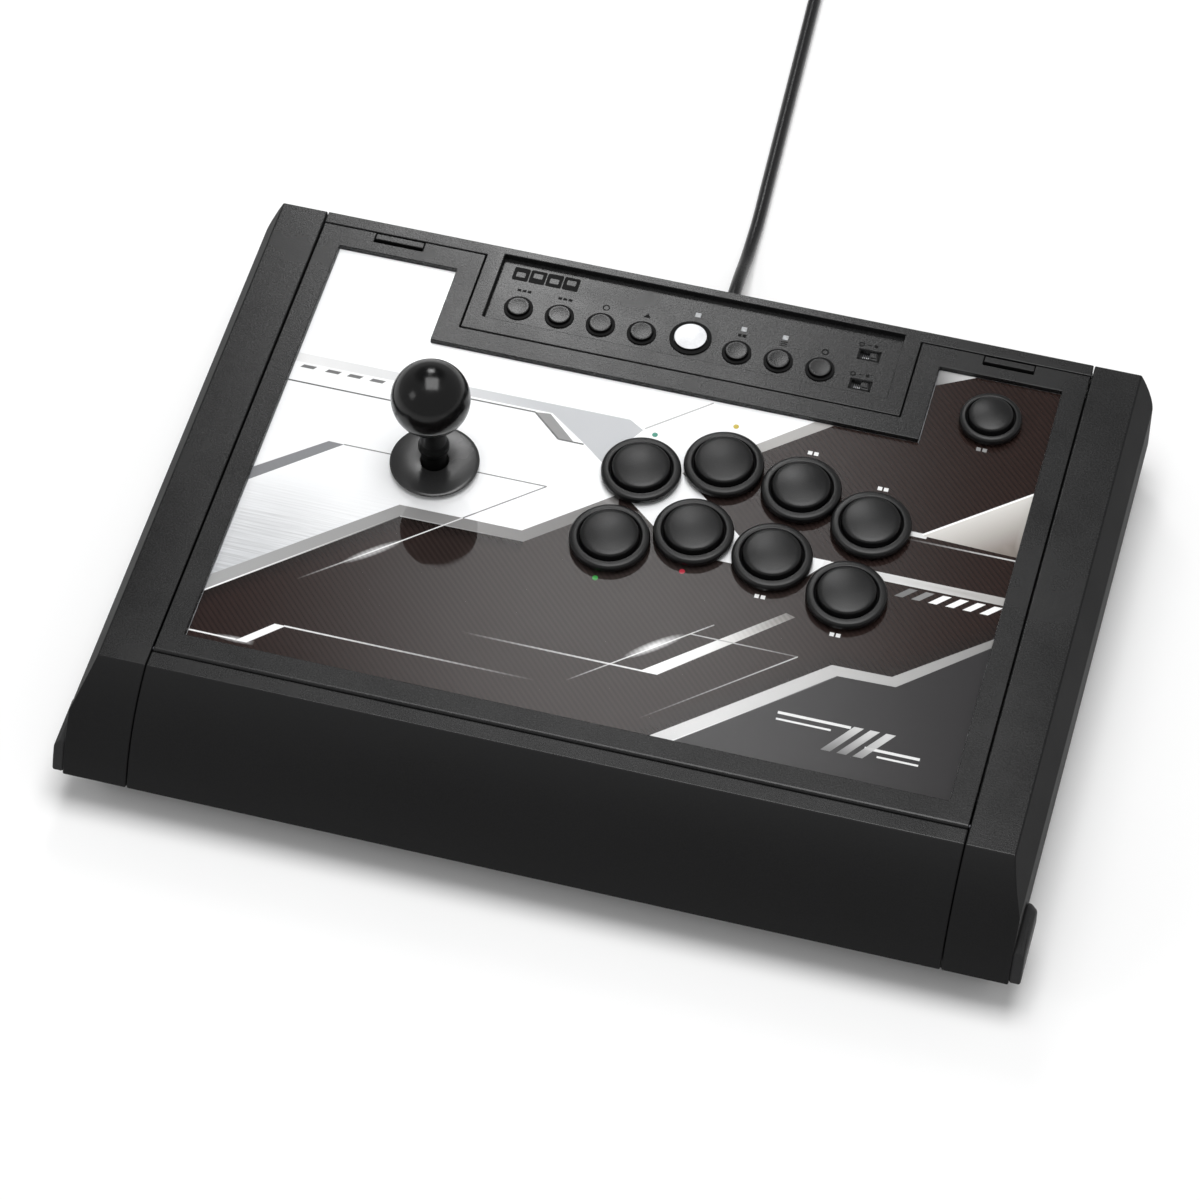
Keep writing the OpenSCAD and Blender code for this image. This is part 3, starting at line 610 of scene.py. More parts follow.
def usb_plug():
    """Overmoulded plug with grip ribs, a stamped steel shell, its tongue and four contacts."""
    start, before = Vector(TAIL[-1]), Vector(TAIL[-2])
    heading = math.atan2(start.y - before.y, start.x - before.x)
    turn = Matrix.Translation(start) @ Matrix.Rotation(heading, 4, "Z")
    grip, shell = bmesh.new(), bmesh.new()
    rounded_block(grip, (14, -7.4, -3.65), (38, 7.4, 3.65), 1.6)
    rib_gap = 3.1
    for k in range(5):
        x = 17.5 + k * rib_gap
        for z in (-3.5, 3.5):
            rounded_block(grip, (x, -5.2, z - 0.35), (x + 1.4, 5.2, z + 0.35), 0.3)
    neck = [(3.15, 0), (3.5, 0.4), (3.7, 9), (3.75, 12), (3.8, 14.5), (0, 14.5)]
    cone = lathe(bmesh.new(), neck, steps=40)
    bmesh.ops.transform(cone, matrix=Matrix.Rotation(math.radians(90), 4, "Y"), verts=cone.verts)
    merge(grip, cone)
    outer = rounded_loop(-6, 6, -2.25, 2.25, 0.7, 4)
    sleeve(shell, outer, rounded_loop(-5.65, 5.65, -1.9, 1.9, 0.35, 4), 38, 56.3)
    tongue, pins = bmesh.new(), bmesh.new()
    rounded_block(tongue, (40, -5.5, 0.15), (55.6, 5.5, 1.85), 0.2)
    for k in range(4):
        y = -3.6 + 2.4 * k
        rounded_block(pins, (47, y - 0.6, 0.0), (55, y + 0.6, 0.2), 0.08)
    made = []
    for name, bm, look, slot in (
        ("usb_plug_grip", grip, PLUG, "plug_plastic"),
        ("usb_plug_shell", shell, ZINC, "steel"),
        ("usb_plug_tongue", tongue, CONNECTOR, "plug_plastic"),
        ("usb_plug_pins", pins, BRASS, "steel"),
    ):
        bmesh.ops.transform(bm, matrix=turn, verts=bm.verts)
        made.append(piece(name, bm, look, "base", slot))
    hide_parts("usb_plug")
    return made


def cord_tie():
    """Hook-and-loop strap round the near side of the coil."""
    low, high = node_box("cord_tie")
    thick = 1.1
    outer = rounded_loop(low.y, high.y, low.z + 0.1, high.z, 3.2)
    inner = rounded_loop(low.y + thick, high.y - thick, low.z + 0.15, high.z - thick, 2.1)
    bm = sleeve(bmesh.new(), outer, inner, low.x, high.x)
    return piece("cord_strap", bm, STRAP, "base", "strap", "cord_tie")


def make_cord():
    points = ROUTE + coil_points() + TAIL
    cord = cord_curve("usb_lead", points, CORD_D, CORD)
    settle(cord, "base", "cord_sheath", "usb_cord", "cord_coil")
    pieces = [strain_relief(), cord_tie(), *usb_plug()]


# ---- studio: camera, floor and soft lights, all in metres ----

LENS = 142.52
CAMERA_TURN = (16.080, 53.679, -1.048)  # degrees: azimuth, elevation and roll
CAMERA_PLACE = (0.33729, -1.20220, 1.71843)
FLOOR_HALF = 6
FLOOR_DROP = -0.0002  # so that nothing lies exactly in the floor's own plane
SOFTBOXES = (  # name, place, target, width, height, watts
    ("overhead_softbox", (0.1, 0.32, 2.5), (0.1, 0.32, 0), 1.45, 1.6, 43),
    ("rear_softbox", (-0.34, 1.1, 1.11), (-0.09, 0.02, 0.06), 0.3, 0.3, 3.2),
    ("side_softbox", (-1.1, -0.68, 0.95), (0, 0, 0.06), 0.4, 0.4, 1.3),
)
EVEN, CARD, GLOW = 0.5, 0.15, 2.3  # strengths of the sky, of the dark card and of its bright band
CARD_FACING = (-0.163, 0.573, 0.803)
CARD_EDGE = (42, 24)  # degrees from the card's middle where it starts and where it is full
BAND_HALF = (0.095, 0.22)  # half width and half height of the bright band, as sines


def aimed(obj, place, target, roll=0.0):
    """Stands an object at a place, its -Z towards the target, rolled about that line."""
    place, target = Vector(place), Vector(target)
    turn = (target - place).to_track_quat("-Z", "Y").to_matrix().to_4x4()
    obj.matrix_world = Matrix.Translation(place) @ turn @ Matrix.Rotation(roll, 4, "Z")
    bpy.context.scene.collection.objects.link(obj)
    return obj


def softbox(name, place, target, width, height, watts):
    lamp = bpy.data.lights.new(name, "AREA")
    lamp.shape = "RECTANGLE"
    lamp.size, lamp.size_y = width, height
    lamp.energy = watts
    aimed(bpy.data.objects.new(name, lamp), place, target)


def sky(scene):
    """Even light all round, a dark card behind the model and a soft bright band on the card."""
    scene.world = bpy.data.worlds.new("studio")
    scene.world.use_nodes = True
    dome = Nodes(scene.world.node_tree)
    facing = Vector(CARD_FACING).normalized()
    side = facing.cross(Vector((0, 0, 1))).normalized()
    above = side.cross(facing)
    where = dome.add("TexCoord").outputs["Generated"]

    def share(axis, start, stop):
        """0 to 1 as the direction's part along an axis goes from start to stop."""
        spread = dome.span(dome.math("ABSOLUTE", dome.dot(where, axis)), 0, 1, start, stop)
        spread.node.interpolation_type = "SMOOTHERSTEP"
        return spread

    near = share(facing, *(math.cos(math.radians(v)) for v in CARD_EDGE))
    band = dome.math("MULTIPLY", share(side, BAND_HALF[0], 0), share(above, BAND_HALF[1], 0))
    level = dome.math("MULTIPLY_ADD", near, CARD - EVEN, EVEN)
    level = dome.math("MULTIPLY_ADD", dome.math("MULTIPLY", band, near), GLOW, level)
    light = dome.tree.nodes["Background"]
    light.inputs["Color"].default_value = (1, 1, 1, 1)
    dome.link(level, light.inputs["Strength"])


def studio():
    scene = bpy.context.scene
    scene.view_settings.view_transform = "Standard"
    camera = bpy.data.cameras.new("camera")
    camera.sensor_width = 36
    camera.lens = LENS
    camera.clip_end = 50
    azimuth, elevation, roll = (math.radians(v) for v in CAMERA_TURN)
    back = Vector((
        math.sin(azimuth) * math.cos(elevation), -math.cos(azimuth) * math.cos(elevation),
        math.sin(elevation),
    ))
    lens_at = Vector(CAMERA_PLACE)
    scene.camera = aimed(bpy.data.objects.new("camera", camera), lens_at, lens_at - back, roll)
    sky(scene)
    for row in SOFTBOXES:
        softbox(*row)
    bpy.data.objects["overhead_softbox"].rotation_euler = (0, 0, azimuth)
    ground = bmesh.new()
    bmesh.ops.create_grid(ground, x_segments=8, y_segments=8, size=FLOOR_HALF / MM)
    ink = Ink("studio_floor")
    ink.colour(ink.mix(ink.span(ink.noise(300), 0, 1), (0.95, 0.95, 0.95), (0.97, 0.97, 0.97)))
    ink.set(Roughness=0.9, Specular_IOR_Level=0.1)
    floor = place("studio_floor", ground, ink.material)
    floor.location.z = FLOOR_DROP


# ---- the case ----


def moulded(node, body, slot, look, width=0.6, segments=3, degrees=15):
    """A CAD moulding with its edges rounded."""
    obj = refine(node, width, segments, degrees)
    obj.data.materials.append(look)
    for p in obj.data.polygons:
        p.material_index = 0
    return settle(obj, body, slot, node)


def paint_faces(obj, look, test):
    """Gives another material to the faces whose centre and normal pass the test."""
    obj.data.materials.append(look)
    index = len(obj.data.materials) - 1
    for p in obj.data.polygons:
        if test(p.center / MM, p.normal):
            p.material_index = index
    return obj


FRONT_EDGE = -113.7
MOULDINGS = (  # node, body, slot, look, then width, segments and least angle of its roundings
    ("rear_cover", "base", "case_plastic", CASE, 0.4),
    ("base_tray", "base", "tray_plastic", TRAY, 0.5, 2, 30),
    ("corner_bumpers", "base", "rubber", RUBBER, 0.9, 3, 30),
    ("rubber_feet", "base", "rubber", RUBBER, 0.9, 3, 40),
    ("ballast_plate", "base", "steel", ZINC, 0.3, 2, 40),
    ("hinge_pins", "base", "steel", DARK_SCREW, 0.25, 2, 40),
    ("lid_frame", "lid", "case_plastic", CASE, 0.35),
    ("panel_plate", "lid", "steel", STEEL, 0),
    ("clear_cover", "lid", "clear_acrylic", CLEAR, 0),
    ("latch_left", "latch_left", "case_plastic", CASE, 0.3, 2, 30),
    ("latch_right", "latch_right", "case_plastic", CASE, 0.3, 2, 30),
)
LEVER_MOULDINGS = (
    ("stick_shaft", "lever", "steel", STEEL, 0.3, 2, 40),
    ("actuator", "lever", "switch_plastic", SWITCH, 0.3, 2, 40),
    ("lower_washer", "lower_washer", "switch_plastic", SWITCH, 0.2, 2, 40),
    ("pivot_ring", "pivot_ring", "white_nylon", NYLON, 0.3, 2, 40),
    ("stick_gate", "lid", "white_nylon", NYLON, 0.4, 2, 40),
    ("stick_housing", "lid", "switch_plastic", SWITCH, 0.6, 2, 40),
    ("stick_mount_plate", "lid", "steel", ZINC, 0.25, 2, 40),
)


def satin(c, n):
    """Faces that look forward in front of the front edge, and all that look left or right."""
    return (c.y < FRONT_EDGE and n.y < -0.2) or abs(n.x) > 0.5


def case():
    for node in ("end_cap_left", "end_cap_right", "front_cover"):
        slot = "front_plastic" if node == "front_cover" else "case_plastic"
        paint_faces(moulded(node, "base", slot, CASE), SMOOTH_FRONT, satin)
    for row in MOULDINGS:
        moulded(*row)


# ---- buttons ----


BEZEL_RISE = 2.7  # over the lid's frame
STEM = 3.2  # radius of the stem under a cap


def bezel(bm, spot, outer, inner, body):
    """Snap-in housing: a rounded ring on the cover, a shadowed step inside it, a cup below."""
    base, top = COVER_TOP, TOP + BEZEL_RISE
    floor = node_box("button_housings")[0].z
    crown = top - base
    edge = 1.7
    profile = [(3.8, floor), (body, floor), (body, base), (outer, base)]
    profile += [(outer, base + 0.7)] + arc(outer - edge, top - edge - 0.15, edge, 0, 80, 8)
    profile += arc(inner + 1.5, top - 0.9, 0.9, 90, 150, 4)
    profile += [(inner + 0.45, top - crown * 0.42), (inner, top - crown * 0.5), (inner, floor + 2)]
    profile += [(3.8, floor + 2)]
    ring = lathe(bmesh.new(), profile, (spot.x, spot.y, 0), closed=True)
    under, y = node_box("panel_plate")[0].z, spot.y
    for side in (-1, 1):
        x = spot.x + side * (body + 0.25)
        rounded_block(ring, (x - 0.75, y - 4, under - 6), (x + 0.75, y + 4, under - 0.25), 0.4)
    merge(bm, ring)


def housings():
    bm = bmesh.new()
    for name in BUTTONS[:-1]:
        bezel(bm, node_centre(name), 17.85, 13.25, 14.9)
    piece("button_bezels", bm, BUTTON, "lid", "button_plastic", "button_housings")
    bm = bmesh.new()
    bezel(bm, node_centre("option_button"), 14, 10.25, 11.9)
    piece("option_bezel", bm, BUTTON, "lid", "button_plastic", "option_housing")


def plunger(name):
    """Crowned cap with a soft lip, a hollow skirt and the stem that reaches its switch."""
    low, high = node_box(name)
    middle = node_centre(name)
    r = (high.x - low.x) / 2
    skirt = node_box("button_housings")[0].z + 6
    lip = high.z - 1.15
    crown_r = r - 1.5
    profile = [(0, high.z)]
    profile += [(crown_r * k / 12, high.z - 0.95 * (k / 12) ** 2) for k in range(1, 13)]
    profile += arc(r - 1.25, lip - 1.2, 1.25, 72, 0, 7)
    profile += [(r, skirt), (r - 1.6, skirt), (r - 1.6, lip - 2.4), (STEM, lip - 2.4)]
    profile += [(STEM, low.z + 0.4), (STEM - 0.4, low.z), (0, low.z)]
    bm = lathe(bmesh.new(), profile, (middle.x, middle.y, 0))
    piece(name + "_cap", bm, BUTTON, name, "button_plastic", name, sharp=40)


def small_cap(name, look, slot, dome):
    """Cap of a small control, with a rounded rim and a dished or domed top; its sides are painted
    black as painted shade.
    """
    low, high = node_box(name)
    middle = node_centre(name)
    flange = (high.x - low.x) / 2
    r = flange - 1
    under = STRIP - 2
    top = high.z - max(0, dome)
    profile = [(0, high.z if dome > 0 else top + dome)]
    profile += [(r * 0.88 * k / 6, profile[0][1] - (profile[0][1] - top) * (k / 6) ** 2)
                for k in range(1, 7)]
    profile += arc(r - 0.4, top - 0.4, 0.4, 75, 0, 5)
    profile += [(r, under - 0.4), (flange, under - 0.4), (flange, under - 1.6), (2, under - 1.6)]
    profile += [(2, low.z), (0, low.z)]
    bm = lathe(bmesh.new(), profile, (middle.x, middle.y, 0), 64)
    cap = piece(name + "_cap", bm, look, name, slot, name, sharp=40)
    # painted shade: faces that look sideways and down are painted black
    paint_faces(cap, BLACK, lambda c, n: n.z < 0.5)


def controls():
    housings()
    for name in BUTTONS:
        plunger(name)
    for name in SMALL:
        small_cap(name, CASE, "grey_plastic", -0.12)
    small_cap("home_button", HOME, "home_plastic", 0.35)
    for name in KNOBS:
        low, high = node_box(name)
        bm = bmesh.new()
        rounded_block(bm, low, (high.x, high.y, STRIP - 0.2), 0.2, 2)
        rounded_block(bm, (low.x + 0.6, low.y + 0.5, STRIP - 0.5),
                      (high.x - 0.4, high.y - 0.5, high.z - 0.35), 0.25)
        for k in range(3):
            x = low.x + 0.85 + k * 0.85
            rounded_block(bm, (x, low.y + 0.6, high.z - 0.5), (x + 0.4, high.y - 0.6, high.z), 0.12)
        piece(name + "_grip", bm, GREY_CAP, name, "grey_plastic", name)


# ---- strip of small controls ----


def strip():
    plate = moulded("control_plate", "base", "case_plastic", CASE, 0)
    paint_faces(plate, BLACK, lambda c, n: c.z > STRIP + 0.02)
    moulded("status_leds", "base", "light_guide", LAMP, 0.12, 2, 40)
    print_marks()


def flat_ring(bm, x, y, outer, inner, low, high):
    profile = [(outer, low), (outer, high), (inner, high), (inner, low)]
    lathe(bm, profile, (x, y, 0), 40, closed=True)


def print_marks():
    """Generic printed signs beside the small controls: bars, rings and squares, no lettering."""
    low, high = STRIP - 0.02, STRIP + 0.05
    bm = bmesh.new()

    def bar(x, y, width, height):
        prism(bm, [(x, y), (x + width, y), (x + width, y + height), (x, y + height)], low, high)

    xs = [node_centre(name).x for name in SMALL]
    row = 131.2
    for x in xs[:2]:
        for k in range(3):
            bar(x - 3.4 + 2.4 * k, row - 0.6, 1.8, 1.3)
    flat_ring(bm, xs[2], row, 1.7, 1.15, low, high)
    prism(bm, [(xs[3] - 1.7, row - 1), (xs[3] + 1.7, row - 1), (xs[3], row + 1.6)], low, high)
    for k in (0, 1):
        bar(xs[4] - 1.9 + 2.1 * k, row - 1, 1.6, 1.6)
    for k in range(3):
        bar(xs[5] - 1.6, row - 1.4 + 1.1 * k, 3.2, 0.5)
    flat_ring(bm, xs[6], row, 1.7, 1.1, low, high)
    for name in KNOBS:
        box = node_box(name)
        slot_x, y = box[0].x - 0.2, node_centre(name).y
        flat_ring(bm, slot_x - 4.6, y + 5.6, 1.3, 0.75, low, high)
        bar(slot_x + 1.2, y + 5, 1.6, 1.6)
        bar(slot_x - 1.9, y + 5.5, 1.9, 0.45)
        for side in (-1, 1):
            bar(slot_x - 5.1, y + side * 2.75 - 0.4, 10.2, 0.8)
            bar(slot_x + side * 4.75 - 0.4, y - 3.1, 0.8, 6.2)
    settle(place("strip_marks", bm, BLACK), "base", "grey_plastic")
    badge, bars = bmesh.new(), bmesh.new()
    for k in range(4):
        x = -88 + 7.9 * k
        prism(badge, rounded_loop(x, x + 7.4, 136.8, 144.2, 0.8, 4), low, high + 0.1)
        tile = rounded_loop(x + 1.6, x + 5.8, 138.6 + k % 2, 141.4 + k % 2, 0.4, 4)
        prism(bars, tile, high, high + 0.2)
    piece("strip_badge", badge, BLACK, "base", "grey_plastic")
    piece("strip_badge_bars", bars, CASE, "base", "grey_plastic")


# ---- lever ----


def lever():
    x, y = STICK
    low, high = node_box("ball_top")
    r = (high.x - low.x) / 2
    middle = high.z - r
    floor = low.z - middle
    start = math.degrees(math.asin(floor / r))
    profile = [(4, floor), (math.sqrt(r * r - floor * floor) - 0.3, floor)]
    profile += arc(0, 0, r, start + 1, 90, 60)[:-1] + [(0, r)]
    bm = lathe(bmesh.new(), profile, (x, y, middle), 128)
    piece("ball_knob", bm, GLOSS, "lever", "gloss_black", "ball_top", sharp=60)
    low, high = node_box("shaft_sleeve")
    outer = 5.7
    bulge = TOP + 12
    profile = [(4.05, low.z), (outer - 0.2, low.z), (outer, low.z + 0.2), (outer, bulge - 3.4)]
    profile += [(outer + 1.25 * ease(k / 8), bulge - 3.4 + 2.6 * k / 8) for k in range(1, 9)]
    profile += [(outer + 1.25 * ease(1 - k / 8), bulge + 0.8 + 2.6 * k / 8) for k in range(9)]
    profile += [(outer, high.z), (4.05, high.z)]
    bm = lathe(bmesh.new(), profile, (x, y, 0), 72, closed=True)
    piece("shaft_cover", bm, SLEEVE, "lever", "gloss_black", "shaft_sleeve")
    low, high = node_box("dust_washer")
    disc = (high.x - low.x) / 2
    profile = [(6.3, low.z), (disc - 0.5, low.z)] + arc(disc - 0.5, low.z + 0.5, 0.5, -90, 70, 6)
    profile += [(disc - 1.6, high.z - 0.18), (7, high.z), (6.4, high.z - 0.1), (6.3, high.z - 0.3)]
    bm = lathe(bmesh.new(), profile, (x, y, 0), 96, closed=True)
    piece("washer_disc", bm, WASHER, "dust_washer", "button_plastic", "dust_washer")
    for row in LEVER_MOULDINGS:
        moulded(*row)
    low, high = node_box("stick_spring")
    turns, r, wire = 4, (high.x - low.x) / 2 - 0.6, 0.6
    steps = 20 * turns
    rise = high.z - low.z - 2 * wire
    points = [
        (*at, low.z + wire + rise * k / steps)
        for k, at in enumerate(arc(x, y, r, 0, 360 * turns, steps))
    ]
    spring = cord_curve("return_spring", points, 2 * wire, STEEL)
    settle(spring, "lever", "steel", "stick_spring")


# ---- printed film under the clear cover ----

BUTTON_HOLE, OPTION_HOLE, LEVER_HOLE = 15.4, 12.4, 12.1  # radii of the film's holes


def tone(*levels):
    """Linear colour from screen levels of 0 to 255; one level makes a grey."""
    if len(levels) == 1:
        levels = levels * 3
    shares = [v / 255 for v in levels]
    return Vector([v / 12.92 if v < 0.04 else ((v + 0.055) / 1.055) ** 2.4 for v in shares])


def along(p, start, stop):
    """How far a point has gone from start (0) to stop (1)."""
    start, stop = Vector(start), Vector(stop)
    return unit((p - start).dot(stop - start) / (stop - start).length_squared)


def nearness(p, path, reach):
    """1 on a path of straight lines, falling to 0 at a distance of reach."""
    best = reach
    for a, b in zip(path, path[1:]):
        a, b = Vector(a), Vector(b)
        t = along(p, a, b)
        best = min(best, (p - a.lerp(b, t)).length)
    return 1 - best / reach


def grade(a, b, start, stop):
    """Ink that turns from colour a into colour b between two places."""
    return lambda p: a.lerp(b, along(p, start, stop))


def fade(start, stop, depth=1.0):
    """Cover that sinks by depth between two places."""
    return lambda p: 1 - depth * along(p, start, stop)


def halo(path, reach, strength):
    """Cover that is strongest on a path of straight lines."""
    return lambda p: strength * nearness(p, path, reach)


def value_at(thing, p):
    return thing(p) if callable(thing) else thing


class Film:
    """Inks laid one over another on one flat sheet; each has an outline, a colour and a cover."""

    def __init__(self):
        self.inks = []
        self.points = []

    def ink(self, outline, colour, cover=1.0, weave=0.0, brush=0.0):
        """Colour and cover are each a value or a function of the place."""
        self.inks.append((outline, colour, cover, weave, brush))

    def line(self, a, b, width, level, full=None, clear=None, cover=1.0):
        """A thin straight grey line, which may fade out from full to clear."""
        a, b = Vector(a), Vector(b)
        side = (b - a).normalized().orthogonal() * width / 2
        if full:
            cover = fade(full, clear)
        self.ink([a - side, b - side, b + side, a + side], tone(level), cover)

    def path(self, points, width, level):
        for a, b in zip(points, points[1:]):
            self.line(a, b, width, level)

    def block(self, x0, x1, y0, y1, colour, lean=0.0, cover=1.0):
        """A rectangle whose rear edge is shifted by lean."""
        self.ink([(x0, y0), (x1, y0), (x1 + lean, y1), (x0 + lean, y1)], colour, cover)

    def glint(self, centre, along_line, length, height, colour, strength=1.0):
        """A soft star of light that lies along a line."""
        centre = Vector(centre)
        turn = Vector(along_line).normalized()
        side = turn.orthogonal()
        self.points.append(centre)
        steps = 16
        for scale in (1.0, 0.5):
            def cover(p, scale=scale):
                d = p - centre
                far = math.hypot(d.dot(turn) / (length * scale), d.dot(side) / (height * scale))
                return strength * max(0, 1 - far)
            ring = [
                centre + turn * length * scale * math.cos(2 * math.pi * k / steps)
                + side * height * scale * math.sin(2 * math.pi * k / steps) for k in range(steps)
            ]
            self.ink(ring, colour, cover)

    def print_at(self, p, stack):
        """Colour, weave and brush of a point under this stack of inks."""
        colour, weave, brush = Vector((0, 0, 0)), 0.0, 0.0
        for k in stack:
            _, ink, cover, ink_weave, ink_brush = self.inks[k]
            share = value_at(cover, p)
            colour = colour.lerp(value_at(ink, p), share)
            weave += (value_at(ink_weave, p) - weave) * share
            brush += (value_at(ink_brush, p) - brush) * share
        return colour, weave, brush

    def sheet(self, name, window, holes, low, high, pitch=5.0):
        """One closed thin sheet with the inks in its corner attributes."""
        points, faces = [], []
        for outline in [o for o, *_ in self.inks] + holes:
            loop = [Vector(p) for p in outline]
            area = sum(a.x * b.y - b.x * a.y for a, b in zip(loop, loop[1:] + loop[:1]))
            faces.append(list(range(len(points), len(points) + len(loop))))
            points += loop if area > 0 else loop[::-1]
        x0, x1, y0, y1 = window
        across, deep = int((x1 - x0) / pitch), int((y1 - y0) / pitch)
        points += [
            Vector((x0 + (i + 0.5) * (x1 - x0) / across, y0 + (j + 0.5) * (y1 - y0) / deep))
            for i in range(across) for j in range(deep)
        ]
        points += self.points
        spots, _, tiles, _, _, owners = geometry.delaunay_2d_cdt(points, [], faces, 0, 1e-4, True)
        bm = bmesh.new()
        verts = [bm.verts.new((p.x, p.y, high)) for p in spots]
        tint = bm.loops.layers.float_color.new("ink")
        cloth = bm.loops.layers.float.new("weave")
        brushed = bm.loops.layers.float.new("brush")
        for tile, owner in zip(tiles, owners):
            stack = sorted(set(owner))
            if 0 not in stack or stack[-1] >= len(self.inks):
                continue
            face = bm.faces.new([verts[k] for k in tile])
            for loop in face.loops:
                colour, weave, brush = self.print_at(loop.vert.co.to_2d(), stack)
                loop[tint] = (*colour, 1)
                loop[cloth] = weave
                loop[brushed] = brush
        bmesh.ops.delete(bm, geom=[v for v in bm.verts if not v.link_faces], context="VERTS")
        made = bmesh.ops.extrude_face_region(bm, geom=bm.faces[:], use_keep_orig=True)["geom"]
        for v in made:
            if isinstance(v, bmesh.types.BMVert):
                v.co.z = low
        bmesh.ops.recalc_face_normals(bm, faces=bm.faces)
        return place(name, bm, ART)


def circle(centre, r, steps=48):
    return [Vector(p) for p in arc(centre[0], centre[1], r, 0, 360, steps)[:-1]]


def window_outline(inset):
    """The art window: a rectangle with the notch for the control strip in its rear edge."""
    half, front, rear = ART_HIGH.x - inset, ART_LOW.y + inset, ART_HIGH.y - inset
    notch, notch_y = 113.1 + inset, 90.7 - inset
    return [
        (-half, front), (half, front), (half, rear), (notch, rear), (notch, notch_y),
        (-notch, notch_y), (-notch, rear), (-half, rear),
    ]


def dark_ground(p):
    """Brown-grey woven ground, redder and darker at its ends; lightest near the middle, where a
    soft highlight is painted into the print colour.
    """
    # painted highlight: the ground is lightened towards the middle of the window
    middle = max(0, 1 - math.hypot((p.x - 10) / 120, (p.y + 25) / 70))
    left, right = unit((-90 - p.x) / 80), unit((p.x - 70) / 90)
    colour = tone(42, 33, 31).lerp(tone(52, 46, 44), middle)
    colour = colour.lerp(tone(43, 31, 29), left * 0.8)
    return colour.lerp(tone(42, 30, 27), right * 0.7)


def silver_light(p):
    """Nearly white, cooler and darker towards the brushed corner at the left."""
    corner = unit((10 - p.y) / 75) * unit((-90 - p.x) / 60)
    return tone(246, 247, 248).lerp(tone(196, 198, 201), corner)


